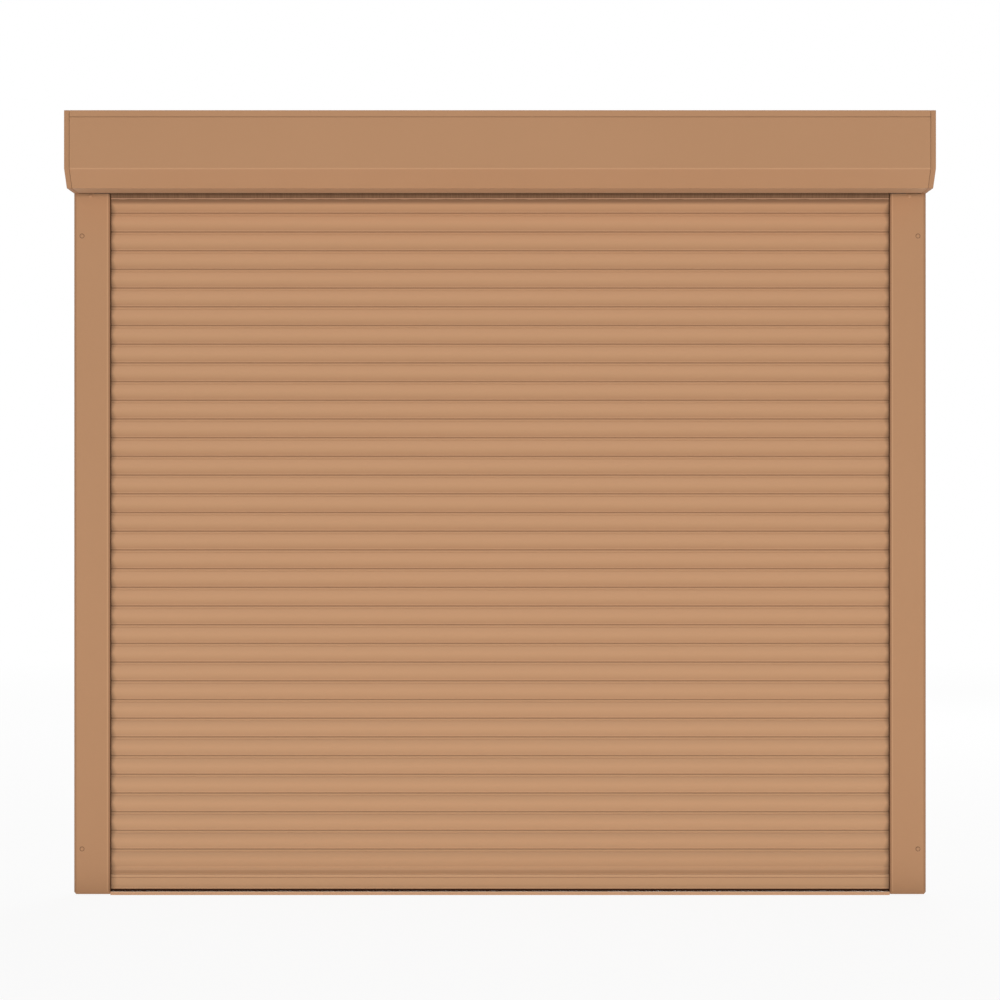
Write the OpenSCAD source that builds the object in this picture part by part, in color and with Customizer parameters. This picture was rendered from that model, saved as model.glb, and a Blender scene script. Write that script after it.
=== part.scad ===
// Exterior roller shutter: a headbox with a motor-driven shaft, two guide rails and a curtain of slats.
// X runs along the width, the wall is the plane y = 0, the front faces -Y and +Z is up.
// Heights are counted from the underside of the guide feet, and the whole is then lowered so that
// the origin lies on the wall, at the middle of the four wall screw holes.

/* [Overall] */
// Width over the two end caps
shutter_w = 2058; // [1400:2:2600]

/* [Curtain] */
// Number of slats
slat_count = 36; // [20:1:37]
// Height that one slat adds to the curtain
slat_pitch = 45.25; // [40:0.25:55]
// Overall thickness of a slat
slat_t = 9; // [8.5:0.1:10]
// Depth of the bow of the slat's front
slat_bow = 3; // [2:0.1:3.4]
// Depth of the hollow in the slat's back
slat_hollow = 2; // [1.2:0.1:2.4]
// Wall of the hollow slat
slat_wall = 1; // [0.8:0.05:1.1]
// Open joint between two slats
slat_gap = 3.5; // [2:0.1:4]
// Height of the solid head along the top of a slat
slat_head = 6.5; // [6:0.25:9]
// Radius of the fine groove along the top of the front
groove_r = 1; // [0.6:0.1:1.2]
// Depth of that groove
groove_depth = 0.7; // [0.3:0.1:0.8]
// Drop from the top of the front to the middle of that groove
groove_drop = 4.5; // [2.4:0.1:4.8]
// Thickness of the web that carries the hook bead
web_t = 1.2; // [0.8:0.1:1.4]
// Radius of the hook bead
hook_r = 1.5; // [1.3:0.05:1.6]
// Thickness of the lips that hold the hook bead
lip_t = 1.2; // [0.8:0.1:1.6]
// Play of the hook bead in its pocket
hook_play = 0.3; // [0.25:0.05:0.4]
// Thickness of the head of an end clip
clip_t = 2; // [1.5:0.1:3]
// Length of the end clip's plug
clip_l = 18; // [12:1:30]
// Drop from the headbox to the lower edge of the top slat
top_slat_drop = 44.2; // [10:0.1:60]

/* [Bottom bar] */
// Height from the bar's underside to the lowest slat
bar_h = 52.75; // [48:0.25:60]
// Height of the bar's thick lower part
bar_foot = 34.9; // [30:0.1:38]
// Depth of the recessed band above it
bar_recess = 4; // [2:0.1:4.2]
// Radius of the edge below the recessed band
bar_edge_r = 1.5; // [0.8:0.1:2]
// Wall of the hollow bar
bar_wall = 1.5; // [1.2:0.1:2]
// Side of the fine groove across the bar's front
bar_groove = 0.9; // [0.5:0.1:1]
// Drop from the recessed band to that groove
bar_groove_drop = 7; // [2.5:0.1:10]
// Height of the seal under the bar
seal_h = 6; // [4:0.25:10]
// Width of the seal under the bar
seal_w = 8; // [6:0.25:8.5]
// Width of the neck that holds the seal
seal_neck_w = 2.6; // [2:0.1:3]
// Height of the neck that holds the seal
seal_neck_h = 2.5; // [2:0.1:3]
// Width of the head that holds the seal
seal_head_w = 4.8; // [4:0.1:5.4]
// Height of the head that holds the seal
seal_head_h = 2.4; // [1.5:0.1:3]

/* [Sill strip] */
// Height of the sill strip
sill_h = 8; // [7.5:0.5:14]
// Depth of the sill strip
sill_d = 20; // [16:0.5:24]
// Wall of the sill strip
sill_wall = 1.5; // [1:0.1:2]
// How far the sill strip hangs below the guide feet
sill_drop = 3; // [2:0.1:4]
// Gap between the seal and the sill strip
sill_gap = 0.3; // [0.2:0.05:0.6]

/* [Guide rails] */
// Width of a guide rail
guide_w = 87; // [80:1:110]
// Depth of a guide rail
guide_d = 28; // [26:0.5:36]
// Wall of a guide rail
guide_wall = 2.2; // [1.8:0.1:2.5]
// Radius of the rail's front edges
guide_r = 5; // [2:0.1:5.4]
// Depth of the curtain channel
channel_depth = 36; // [30:1:38]
// Width of the channel's mouth
mouth_w = 15; // [14.5:0.1:17]
// Depth of the channel's mouth
mouth_depth = 8; // [7:0.25:10]
// Width of the sealing strips in the mouth
strip_w = 8; // [7.5:0.1:10]
// How far the sealing strips stand out of the mouth
strip_show = 1.5; // [0.5:0.1:1.8]
// Width of the root of a sealing strip
strip_root_w = 3; // [2:0.1:3.5]
// Depth of the root of a sealing strip
strip_root = 1.5; // [1:0.1:2]
// Gap between a sealing strip and the curtain
strip_gap = 0.4; // [0.3:0.05:0.8]
// Thickness of the plate of a guide foot
foot_t = 6; // [4:0.1:6.5]
// Height of the foot's plug inside the rail
foot_plug = 12; // [8:1:30]
// Chamfer at the outer corner of a foot
foot_chamfer = 5.5; // [2:0.1:5.9]
// Length of the foot's lug inside the sill strip
foot_lug = 20; // [12:1:40]

/* [Wall fixing] */
// Distance of the wall screws from the rail's outer edge
hole_inset = 19.5; // [16:0.5:26]
// Height of the lower wall screws
hole_low = 109; // [60:1:200]
// Drop from the headbox to the upper wall screws
hole_drop = 102.5; // [80:0.5:200]
// Radius of a wall screw hole
hole_r = 3.25; // [2.5:0.05:4]
// Radius of the access hole in front of it
access_r = 5; // [4.5:0.1:6]
// Height of the head of a hole plug
plug_head = 1; // [0.6:0.1:2]
// Overlap of that head round the hole
plug_rim = 0.6; // [0.4:0.1:1.5]
// Length of the stem of a hole plug
plug_stem = 6; // [4:0.5:10]

/* [Headbox] */
// Height of the headbox
box_h = 180; // [165:1:220]
// Depth of the headbox
box_d = 180; // [165:1:220]
// Chamfer along the lower front
box_chamfer = 42; // [30:1:50]
// Thickness of the cover sheets
sheet = 1.2; // [0.8:0.1:1.5]
// Height of the lip of the top cover above the seam
lip_h = 15.5; // [10:0.1:20]
// Width of the seam under that lip
seam_gap = 0.4; // [0.3:0.05:1]
// Radius of the bead that the front cover turns on
bead_r = 1.5; // [1.2:0.05:2]
// Room round the bead in its hook
hook_room = 1.8; // [1.2:0.1:2.4]
// Distance from the wall to the front edge of the curtain slot
slot_front = 40; // [36:0.5:50]
// Height of the turned-up edge at the curtain slot
slot_lip = 10; // [5:0.5:16]
// Width of the rim of an end cap
rim_w = 12; // [8:0.5:20]
// Thickness of that rim
rim_t = 3; // [2.2:0.1:4]
// Wall of an end cap
cap_wall = 3; // [2:0.1:4]
// Depth of the recess in the end cap's outer face
cap_recess = 3; // [2.5:0.1:4]
// Length of the ledge that the covers lie on
ledge_l = 12; // [8:0.5:16]
// Thickness of that ledge
ledge_t = 2.5; // [1.5:0.1:4]
// Length of the tongue that enters the rail
tongue_l = 40; // [25:1:60]
// Height of the shelf above the tongue
shelf_h = 10; // [6:0.5:16]
// Drop from the headbox to the tongue screw
tongue_screw_drop = 6; // [5.5:0.25:15]
// Distance of the tongue screw from the rail's inner edge
tongue_screw_inset = 47; // [44:0.5:60]
// Height of the guide inlets
inlet_h = 24; // [16:1:32]
// Flare of the guide inlets
inlet_flare = 12; // [6:0.5:14]
// Thickness of the guide inlets
inlet_t = 3; // [2:0.1:4]
// Radius of the cable hole in the grommet
cable_r = 4; // [3:0.1:5]
// Wall of the grommet
grommet_wall = 3; // [2:0.1:4]
// Width of the grommet's flanges
grommet_flange = 2.5; // [1.5:0.1:4]
// Thickness of the grommet's flanges
grommet_flange_t = 1.6; // [1:0.1:2]
// Distance of the grommet from the wall and from the headbox top
grommet_inset = 32; // [24:0.5:50]

/* [Shaft and drive] */
// Width across the flats of the octagonal shaft tube
shaft_af = 60; // [58:0.5:70]
// Wall of the shaft tube
shaft_wall = 1.2; // [0.8:0.1:1.5]
// Length of the plugs inside the tube
plug_l = 60; // [30:1:100]
// Thickness of the flanges on the tube's ends
flange_t = 3; // [2:0.1:5]
// How far those flanges stand past the tube
flange_rim = 1; // [0.5:0.1:3]
// Radius of the idler pin
pin_r = 6; // [5:0.1:8]
// Wall of the bearing bush
bush_wall = 8; // [4:0.25:10]
// Width of the bush's flange
bush_flange = 3; // [2:0.1:5]
// Length of the bearing boss on the end cap
boss_l = 16; // [12:0.5:24]
// Wall of the bearing boss
boss_wall = 6; // [3:0.25:10]
// Radius of the motor
motor_r = 22.5; // [20:0.1:23.5]
// Length of the motor
motor_l = 520; // [350:5:700]
// Radius of the motor head
motor_head_r = 26; // [24:0.5:32]
// Length of the motor head
motor_head_l = 14; // [8:0.5:25]
// Side of the square stud on the motor head
stud_side = 16; // [10:0.5:20]
// Radius of the motor's output stub
stub_r = 6; // [4:0.1:8]
// Length of the motor's output stub
stub_l = 18; // [10:1:30]
// Length of the drive wheel
wheel_l = 25; // [15:1:40]
// Length of the motor crown inside the tube
crown_l = 25; // [15:1:40]
// Thickness of the motor bracket
bracket_t = 5; // [3:0.1:8]
// Thickness of the pad behind the motor bracket
pad_t = 4; // [3:0.1:8]
// Height and depth of the motor bracket
bracket_side = 76; // [70:1:90]
// Distance of the bracket screws from the bracket's edges
bracket_screw_inset = 9; // [6:0.25:12]
// Number of hanger straps
strap_count = 4; // [2:1:8]
// Distance between the first and the last hanger strap
strap_span = 1650; // [600:10:1750]
// Width of a hanger strap
strap_w = 30; // [20:1:50]
// Thickness of a hanger strap
strap_t = 0.8; // [0.6:0.05:1]
// Length of strap that lies along a flat of the tube
strap_lap = 20; // [10:0.5:24]

/* [Screws] */
// Radius of the screw shanks
screw_r = 2.5; // [1.5:0.05:2.6]
// Length of the screw shanks
screw_l = 10.5; // [9:0.25:12]
// Radius of the screw heads
screw_head_r = 4.2; // [3.6:0.1:5]
// Height of the screw heads
screw_head_h = 2.4; // [1.8:0.1:4]
// Taper of the screw heads
screw_taper = 0.8; // [0:0.1:1.2]
// Width of the slot in the screw heads
screw_slot = 1; // [0.6:0.1:1.4]

/* [Clearances] */
// Gap between fixed parts that plug together
fit = 0.3; // [0.2:0.05:0.5]
// Gap between the solids that share a slat or a bar
part_gap = 0.15; // [0.1:0.05:0.3]
// Radial running clearance of the shaft parts
run_fit = 0.08; // [0.03:0.01:0.1]
// Gap between parts that turn past each other
turn_gap = 1; // [0.6:0.1:1.5]
// Play of the curtain's ends in the guide channels
end_play = 1; // [0.5:0.1:2]
// Gap between the covers and the rims of the end caps
rim_gap = 0.8; // [0.3:0.05:0.9]
// Gap round the screw shanks
screw_gap = 0.1; // [0.05:0.01:0.2]

/* [Hidden] */
$fn = 48;
bow_fn = 360;
cut = 1;
half_w = shutter_w / 2;
paint = "#B48967";
slat_paint = "#C29671";
rubber = "#2B201A";
plastic = "#3A3835";
steel = "#A9ABAD";
motor_white = "#D8D8D4";

// Heights
sill_top = sill_h - sill_drop;
bar_z = sill_top + sill_gap + seal_h;
curtain_z = bar_z + bar_h;
top_slat_z = curtain_z + (slat_count - 1) * slat_pitch;
box_z = top_slat_z + top_slat_drop;
box_top = box_z + box_h;
hole_high = box_z - hole_drop;
origin_z = (hole_low + hole_high) / 2;

// Guide rails, counted from the inner edge of the rail
rail_x = half_w - guide_w;
channel_x = rail_x + channel_depth;
curtain_y = -guide_d / 2;
curtain_back = curtain_y + slat_t / 2;
clip_end = channel_x - end_play;
slat_half = clip_end - clip_t - part_gap;
chamber_x = channel_x + guide_wall;
chamber_w = guide_w - channel_depth - 2 * guide_wall;
rail_bore = guide_d - 2 * guide_wall;
strip_t = (mouth_w - slat_t) / 2 - strip_gap;
hole_x = half_w - hole_inset;
tongue_screw_x = rail_x + tongue_screw_inset;
tongue_screw_z = box_z - tongue_screw_drop;

// Section of a slat: y is 0 at the back and negative to the front, z is 0 at the lower edge
body_h = slat_pitch - slat_gap;
front_r = bow_radius(body_h, slat_bow);
back_r = bow_radius(body_h, slat_hollow);
bead_z = lip_t + hook_play + hook_r;
bead_y = (front_y(bead_z) + back_y(bead_z)) / 2;
pocket_top = bead_z + hook_r + hook_play + slat_gap;
chamber_low = pocket_top + slat_wall;
chamber_high = body_h - slat_head;

// Headbox
bevel_k = sqrt(2) - 1;
cover_half = half_w - rim_w - rim_gap;
ledge_x = half_w - rim_w - ledge_l;
cap_x = half_w - cap_recess - cap_wall;
seam_z = box_top - lip_h;
hinge_y = -box_d + bead_r;
hinge_z = seam_z - seam_gap - bead_r;
ledge_inset = sheet + fit;
grommet_y = -grommet_inset;
grommet_z = box_top - grommet_inset;
grommet_r = cable_r + grommet_wall;

// Shaft and drive, from the left end cap to the right one
shaft_y = -box_d / 2;
shaft_z = box_z + box_h / 2;
shaft_in = shaft_af - 2 * shaft_wall - 2 * part_gap;
flange_af = shaft_af + 2 * flange_rim;
bush_r = pin_r + run_fit + bush_wall;
boss_x = -cap_x + boss_l;
idler_x = boss_x + flange_t + turn_gap;
tube_left = idler_x + flange_t;
bracket_x = cap_x - pad_t - bracket_t;
head_x = bracket_x - motor_head_l;
tube_right = head_x - turn_gap - flange_t;
motor_end = head_x - motor_l;
wheel_x = motor_end - turn_gap - wheel_l;
bracket_screw = bracket_side / 2 - bracket_screw_inset;

// Hanger straps
flat_y = shaft_y + shaft_af / 2;
top_hook = [curtain_back + bead_y, top_slat_z + slat_pitch + bead_z];
strap_ring = hook_r + hook_play;

function bow_radius(h, sag) = (h * h / 4 + sag * sag) / (2 * sag);
function front_y(z) = -slat_t + front_r - sqrt(pow(front_r, 2) - pow(z - body_h / 2, 2));
function back_y(z) = -slat_hollow + back_r - sqrt(pow(back_r, 2) - pow(z - body_h / 2, 2));
function slat_z(i) = curtain_z + (i - 1) * slat_pitch;
function slat_name(i) = str("slat_", i < 10 ? "0" : "", i);
function box_outline(inset) = [
    [-inset, box_z + inset],
    [-inset, box_top - inset],
    [-box_d + inset, box_top - inset],
    [-box_d + inset, box_z + box_chamfer + inset * bevel_k],
    [-box_d + box_chamfer + inset * bevel_k, box_z + inset]
];

// Moves the shutter from the floor of its feet to its origin on the wall
module on_wall() {
    translate([0, 0, -origin_z]) children();
}

// Runs a section drawn in y and z along the width, from one x to another
module along_x(from, to) {
    translate([from, 0, 0]) rotate([90, 0, 90]) linear_extrude(to - from) children();
}

// A piece drawn on the right, and its mirror image on the left
module both_sides() {
    children();
    mirror([1, 0, 0]) children();
}

// Cylinder along the width, at a place in y and z
module rod_x(r, from, to, y, z) {
    translate([from, y, z]) rotate([0, 90, 0]) cylinder(r = r, h = to - from);
}

// Cylinder that runs from a place towards the wall
module rod_y(r, x, from, to, z) {
    translate([x, from, z]) rotate([-90, 0, 0]) cylinder(r = r, h = to - from);
}

// Octagonal bar along the width, on the shaft's axis, with its flats level and upright
module shaft_bar(across_flats, from, to) {
    translate([from, shaft_y, shaft_z]) rotate([0, 90, 0]) rotate(22.5)
        cylinder(r = across_flats / 2 / cos(22.5), h = to - from, $fn = 8);
}

// Slat section between two heights, taken in from its front and back
module slat_section(inset, low, high) {
    difference() {
        intersection() {
            translate([-slat_t + front_r, body_h / 2]) circle(front_r - inset, $fn = bow_fn);
            translate([-slat_t - cut, low]) square([slat_t + 2 * cut, high - low]);
        }
        translate([-slat_hollow + back_r, body_h / 2]) circle(back_r + inset, $fn = bow_fn);
    }
}

// Web and bead by which a slat, or the bar, hangs in the pocket of the slat above it
module hook_section(root, pitch) {
    translate([bead_y - web_t / 2, root]) square([web_t, pitch + bead_z - root]);
    translate([bead_y, pitch + bead_z]) circle(hook_r);
}

// Whole slat: hollow body, pocket with its two lips, fine front groove and hook
module slat_profile() {
    slot_w = web_t + 2 * hook_play;
    difference() {
        slat_section(0, 0, body_h);
        slat_section(slat_wall, chamber_low, chamber_high);
        slat_section(slat_wall, lip_t, pocket_top);
        translate([bead_y - slot_w / 2, -cut]) square([slot_w, cut + lip_t + hook_play]);
        translate([front_y(body_h - groove_drop) - groove_r + groove_depth, body_h - groove_drop])
            circle(groove_r);
    }
    hook_section(body_h - slat_head / 2, slat_pitch);
}

// End clip: a head at the slat's end and a plug inside its hollow
module end_clip() {
    along_x(slat_half + part_gap, clip_end) slat_section(slat_wall / 2, lip_t, body_h - lip_t);
    along_x(slat_half - clip_l, clip_end)
        slat_section(slat_wall + part_gap, chamber_low + part_gap, chamber_high - part_gap);
}

// One slat at its place in the closed curtain, with end clips on every second one
module slat(i) {
    translate([0, curtain_back, slat_z(i)]) {
        color(slat_paint) along_x(-slat_half, slat_half) slat_profile();
        if (i % 2 == 1) color(plastic) both_sides() end_clip();
    }
}

// Outline of the bottom bar: a thick foot, a recessed band above it and a rounded edge between them
module bar_outline() {
    translate([-slat_t, 0]) square([slat_t, bar_foot - bar_edge_r]);
    translate([-slat_t + bar_edge_r, 0]) square([slat_t - bar_edge_r, bar_foot]);
    translate([-slat_t + bar_edge_r, bar_foot - bar_edge_r]) circle(bar_edge_r);
    translate([-slat_t + bar_recess, 0]) square([slat_t - bar_recess, bar_h - slat_gap]);
}

// Hollow of the bottom bar above the seal's groove, taken in by a gap
module bar_hollow(gap) {
    low = seal_neck_h + seal_head_h + 2 * bar_wall;
    high = bar_foot - bar_groove_drop - bar_groove - bar_wall;
    translate([-slat_t + bar_wall + gap, low + gap])
        square([slat_t - 2 * bar_wall - 2 * gap, high - low - 2 * gap]);
}

// Neck and head of the seal, which slide into the bar's groove
module seal_root(gap) {
    translate([-slat_t / 2 - seal_neck_w / 2 - gap, -cut])
        square([seal_neck_w + 2 * gap, seal_neck_h + 2 * cut]);
    translate([-slat_t / 2 - seal_head_w / 2 - gap, seal_neck_h - gap])
        square([seal_head_w + 2 * gap, seal_head_h + 2 * gap]);
}

// Bottom bar with its end glides
module bottom_bar() {
    translate([0, curtain_back, bar_z]) {
        color(paint) along_x(-slat_half, slat_half) {
            difference() {
                bar_outline();
                bar_hollow(0);
                seal_root(part_gap);
                translate([-slat_t - cut, bar_foot - bar_groove_drop - bar_groove])
                    square([bar_groove + cut, bar_groove]);
            }
            hook_section(bar_h - slat_gap - web_t, bar_h);
        }
        color(plastic) both_sides() {
            along_x(slat_half + part_gap, clip_end) bar_outline();
            along_x(slat_half - clip_l, clip_end) bar_hollow(part_gap);
        }
    }
}

// Rubber seal under the bar, between the two rails
module bottom_seal() {
    color(rubber) translate([0, curtain_back, bar_z]) along_x(-rail_x + end_play, rail_x - end_play) {
        translate([-slat_t / 2 - seal_w / 2, -seal_h / 2]) square([seal_w, seal_h / 2 - part_gap]);
        translate([-slat_t / 2, -seal_h / 2]) intersection() {
            circle(seal_h / 2);
            translate([-seal_w / 2, -seal_h]) square([seal_w, seal_h]);
        }
        seal_root(0);
    }
}

// Hollow sill strip between the rails
module sill_strip() {
    color(slat_paint) along_x(-rail_x + fit, rail_x - fit) difference() {
        translate([curtain_y - sill_d / 2, -sill_drop]) square([sill_d, sill_h]);
        translate([curtain_y - sill_d / 2 + sill_wall, -sill_drop + sill_wall])
            square([sill_d - 2 * sill_wall, sill_h - 2 * sill_wall]);
    }
}

// Outside of a rail, with its wall side flat and its two front edges rounded
module rail_outline() {
    translate([0, -guide_d + guide_r]) square([guide_w, guide_d - guide_r]);
    translate([guide_r, -guide_d]) square([guide_w - 2 * guide_r, guide_d]);
    for (x = [guide_r, guide_w - guide_r]) translate([x, -guide_d + guide_r]) circle(guide_r);
}

// Groove for the root of a sealing strip, on the front or the wall side of the mouth
module strip_root_section(side) {
    translate([mouth_depth / 2, curtain_y + side * (mouth_w + strip_root) / 2])
        square([strip_root_w, strip_root], center = true);
}

// Section of the right rail: curtain channel, its narrower mouth and the screw chamber
module rail_section() {
    difference() {
        rail_outline();
        translate([mouth_depth, -guide_d + guide_wall]) square([channel_depth - mouth_depth, rail_bore]);
        translate([-cut, curtain_y - mouth_w / 2]) square([mouth_depth + 2 * cut, mouth_w]);
        for (side = [-1, 1]) strip_root_section(side);
        translate([channel_depth + guide_wall, -guide_d + guide_wall]) square([chamber_w, rail_bore]);
    }
}

// Right guide rail with the wall screw holes, their access holes and the tongue screw hole
module guide_right() {
    color(paint) difference() {
        translate([rail_x, 0, foot_t]) linear_extrude(box_z - foot_t) rail_section();
        for (z = [hole_low, hole_high]) {
            rod_y(hole_r, hole_x, -guide_wall - cut, cut, z);
            rod_y(access_r, hole_x, -guide_d - cut, -guide_d + guide_wall + cut, z);
        }
        tongue_screw_hole();
    }
}

module guide_left() {
    mirror([1, 0, 0]) guide_right();
}

// Sealing strips on both sides of the two channel mouths
module guide_seals() {
    color(rubber) both_sides() translate([rail_x, 0, foot_t]) linear_extrude(box_z - foot_t) {
        for (side = [-1, 1]) {
            strip_root_section(side);
            translate([strip_w / 2 - strip_show, curtain_y + side * (mouth_w - strip_t) / 2])
                square([strip_w, strip_t], center = true);
        }
    }
}

// Feet that close the rails, with a plug in the screw chamber and a lug in the sill strip
module guide_feet() {
    lug_d = sill_d - 2 * sill_wall - 2 * fit;
    color(paint) both_sides() {
        translate([rail_x, 0, 0]) difference() {
            linear_extrude(foot_t) rail_outline();
            translate([guide_w, 0, 0]) rotate([90, 45, 0]) translate([0, 0, -cut])
                linear_extrude(guide_d + 2 * cut) square(foot_chamfer * sqrt(2), center = true);
        }
        translate([chamber_x + fit, -guide_d + guide_wall + fit, 0])
            cube([chamber_w - 2 * fit, rail_bore - 2 * fit, foot_t + foot_plug]);
        translate([rail_x - foot_lug, curtain_y - lug_d / 2, 0])
            cube([foot_lug + cut, lug_d, min(foot_t, sill_top - sill_wall - fit)]);
    }
}

// Funnels that lead the curtain from the shaft into the rails
module guide_inlets() {
    base_x = rail_x + fit;
    base_w = channel_depth + guide_wall - 2 * fit;
    mouth_front = curtain_y - mouth_w / 2;
    mouth_back = curtain_y + mouth_w / 2;
    color(plastic) both_sides() {
        difference() {
            translate([base_x, -guide_d + fit, box_z]) cube([base_w, guide_d - sheet - 2 * fit, inlet_t]);
            translate([base_x - cut, mouth_front, box_z - cut])
                cube([channel_depth - 2 * fit + cut, mouth_w, inlet_t + 2 * cut]);
        }
        along_x(base_x, base_x + channel_depth - 2 * fit) {
            polygon([
                [mouth_front, box_z],
                [mouth_front, box_z + inlet_t],
                [mouth_front - inlet_flare, box_z + inlet_h],
                [mouth_front - inlet_flare - inlet_t, box_z + inlet_h],
                [mouth_front - inlet_t, box_z]
            ]);
            translate([mouth_back, box_z]) square([inlet_t, inlet_h]);
        }
    }
}

// Round plugs that close the access holes
module hole_plugs() {
    color(paint) both_sides() for (z = [hole_low, hole_high]) {
        rod_y(access_r + plug_rim, hole_x, -guide_d - plug_head, -guide_d, z);
        rod_y(access_r - part_gap, hole_x, -guide_d - plug_head / 2, -guide_d + plug_stem, z);
    }
}

// Folded sheet of the wall side, the top and the front lip, with the hook for the front cover's bead
module top_rear_cover() {
    hook_top = hinge_z + bead_r + hook_room;
    hook_low = hinge_z - bead_r - fit - sheet;
    hook_back = hinge_y + bead_r + hook_room;
    hook_tip = -box_d + sheet + 2 * fit;
    color(paint) along_x(-cover_half, cover_half) {
        translate([-sheet, box_z]) square([sheet, box_h]);
        translate([-box_d, box_top - sheet]) square([box_d, sheet]);
        translate([-box_d, seam_z]) square([sheet, lip_h]);
        translate([-box_d, hook_top]) square([hook_back + sheet + box_d, sheet]);
        translate([hook_back, hook_low]) square([sheet, hook_top - hook_low + sheet]);
        translate([hook_tip, hook_low]) square([hook_back + sheet - hook_tip, sheet]);
    }
}

// Front face, chamfer and underside of the headbox, hung from the seam by its round bead
module inspection_cover() {
    color(paint) {
        along_x(-cover_half, cover_half) {
            intersection() {
                difference() {
                    polygon(box_outline(0));
                    polygon(box_outline(sheet));
                }
                translate([-box_d - cut, box_z - cut])
                    square([box_d - slot_front + cut, hinge_z - box_z + cut]);
            }
            translate([hinge_y, hinge_z]) circle(bead_r);
        }
        along_x(-ledge_x + turn_gap, ledge_x - turn_gap)
            translate([-slot_front - sheet, box_z]) square([sheet, slot_lip]);
    }
}

// End cap without its bearing: recessed wall, rim, ledge for the covers, shelf and rail tongue
module end_cap_body() {
    tongue_y = -guide_d + guide_wall + fit;
    tongue_d = rail_bore - 2 * fit;
    hook_zone = 2 * (bead_r + hook_room + sheet) + fit;
    along_x(cap_x, cap_x + cap_wall) polygon(box_outline(rim_t / 2));
    along_x(half_w - rim_w, half_w) difference() {
        polygon(box_outline(0));
        polygon(box_outline(rim_t));
    }
    along_x(ledge_x, cap_x + cap_wall / 2) difference() {
        polygon(box_outline(ledge_inset));
        polygon(box_outline(ledge_inset + ledge_t));
        translate([-slot_front - sheet - fit, box_z - cut])
            square([slot_front, ledge_inset + ledge_t + 2 * cut]);
        translate([-box_d - cut, hinge_z - hook_zone]) square([hook_zone + cut, 2 * hook_zone]);
    }
    translate([chamber_x + fit, tongue_y, box_z - tongue_l])
        cube([chamber_w - 2 * fit, tongue_d, tongue_l]);
    translate([chamber_x + fit, tongue_y, box_z])
        cube([cap_x - chamber_x, tongue_d, shelf_h]);
}

// Hole for the tongue screw, through the rail's front and into the tongue
module tongue_screw_hole() {
    rod_y(screw_r + screw_gap, tongue_screw_x, -guide_d - cut, -guide_d + screw_l + cut, tongue_screw_z);
}

// Left end cap with the boss that holds the bearing bush
module end_cap_left() {
    color(paint) difference() {
        union() {
            mirror([1, 0, 0]) end_cap_body();
            rod_x(bush_r + boss_wall, -cap_x - cap_wall / 2, boss_x, shaft_y, shaft_z);
        }
        rod_x(bush_r + part_gap, -cap_x, boss_x + cut, shaft_y, shaft_z);
        mirror([1, 0, 0]) tongue_screw_hole();
    }
}

// Places of the four bracket screws, on the shaft's axis
module at_bracket_screws() {
    for (y = [-bracket_screw, bracket_screw], z = [-bracket_screw, bracket_screw])
        translate([0, shaft_y + y, shaft_z + z]) children();
}

// Right end cap with the pad for the motor bracket and the hole for the grommet
module end_cap_right() {
    color(paint) difference() {
        union() {
            end_cap_body();
            translate([cap_x - pad_t, shaft_y - bracket_side / 2, shaft_z - bracket_side / 2])
                cube([pad_t + cap_wall / 2, bracket_side, bracket_side]);
        }
        at_bracket_screws() rod_x(screw_r + screw_gap, cap_x - pad_t - cut, cap_x + cap_wall + cut, 0, 0);
        rod_x(grommet_r, cap_x - cut, cap_x + cap_wall + cut, grommet_y, grommet_z);
        tongue_screw_hole();
    }
}

// Grommet for the motor's lead, with a flange on each side of the wall
module cable_grommet() {
    flange_r = grommet_r + grommet_flange;
    color(rubber) difference() {
        union() {
            rod_x(grommet_r, cap_x, cap_x + cap_wall, grommet_y, grommet_z);
            rod_x(flange_r, cap_x - grommet_flange_t, cap_x, grommet_y, grommet_z);
            rod_x(flange_r, cap_x + cap_wall, cap_x + cap_wall + grommet_flange_t, grommet_y, grommet_z);
        }
        rod_x(cable_r, cap_x - grommet_flange_t - cut, half_w + cut, grommet_y, grommet_z);
    }
}

// Octagonal tube that the curtain winds on
module shaft_tube() {
    color(steel) difference() {
        shaft_bar(shaft_af, tube_left, tube_right);
        shaft_bar(shaft_af - 2 * shaft_wall, tube_left - cut, tube_right + cut);
    }
}

// Plug in the left end of the tube, with a flange and the idler pin
module idler_plug() {
    color(plastic) {
        shaft_bar(shaft_in, tube_left - part_gap, tube_left + plug_l);
        shaft_bar(flange_af, idler_x, tube_left - part_gap);
        rod_x(pin_r, -cap_x + turn_gap, idler_x + cut, shaft_y, shaft_z);
    }
}

// Flanged plain bearing in the boss of the left end cap
module bearing_bush() {
    color(motor_white) difference() {
        union() {
            rod_x(bush_r, -cap_x, boss_x, shaft_y, shaft_z);
            rod_x(bush_r + bush_flange, boss_x, boss_x + flange_t, shaft_y, shaft_z);
        }
        rod_x(pin_r + run_fit, -cap_x - cut, boss_x + flange_t + cut, shaft_y, shaft_z);
    }
}

// Tubular motor: its body, its head and the square stud that the bracket holds
module motor() {
    color(motor_white) difference() {
        union() {
            rod_x(motor_r, motor_end, head_x + cut, shaft_y, shaft_z);
            rod_x(motor_head_r, head_x, bracket_x, shaft_y, shaft_z);
            translate([bracket_x - cut, shaft_y - stud_side / 2, shaft_z - stud_side / 2])
                cube([bracket_t + cut, stud_side, stud_side]);
        }
        rod_x(stub_r + run_fit, motor_end - cut, motor_end + stub_l + turn_gap, shaft_y, shaft_z);
    }
}

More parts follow.
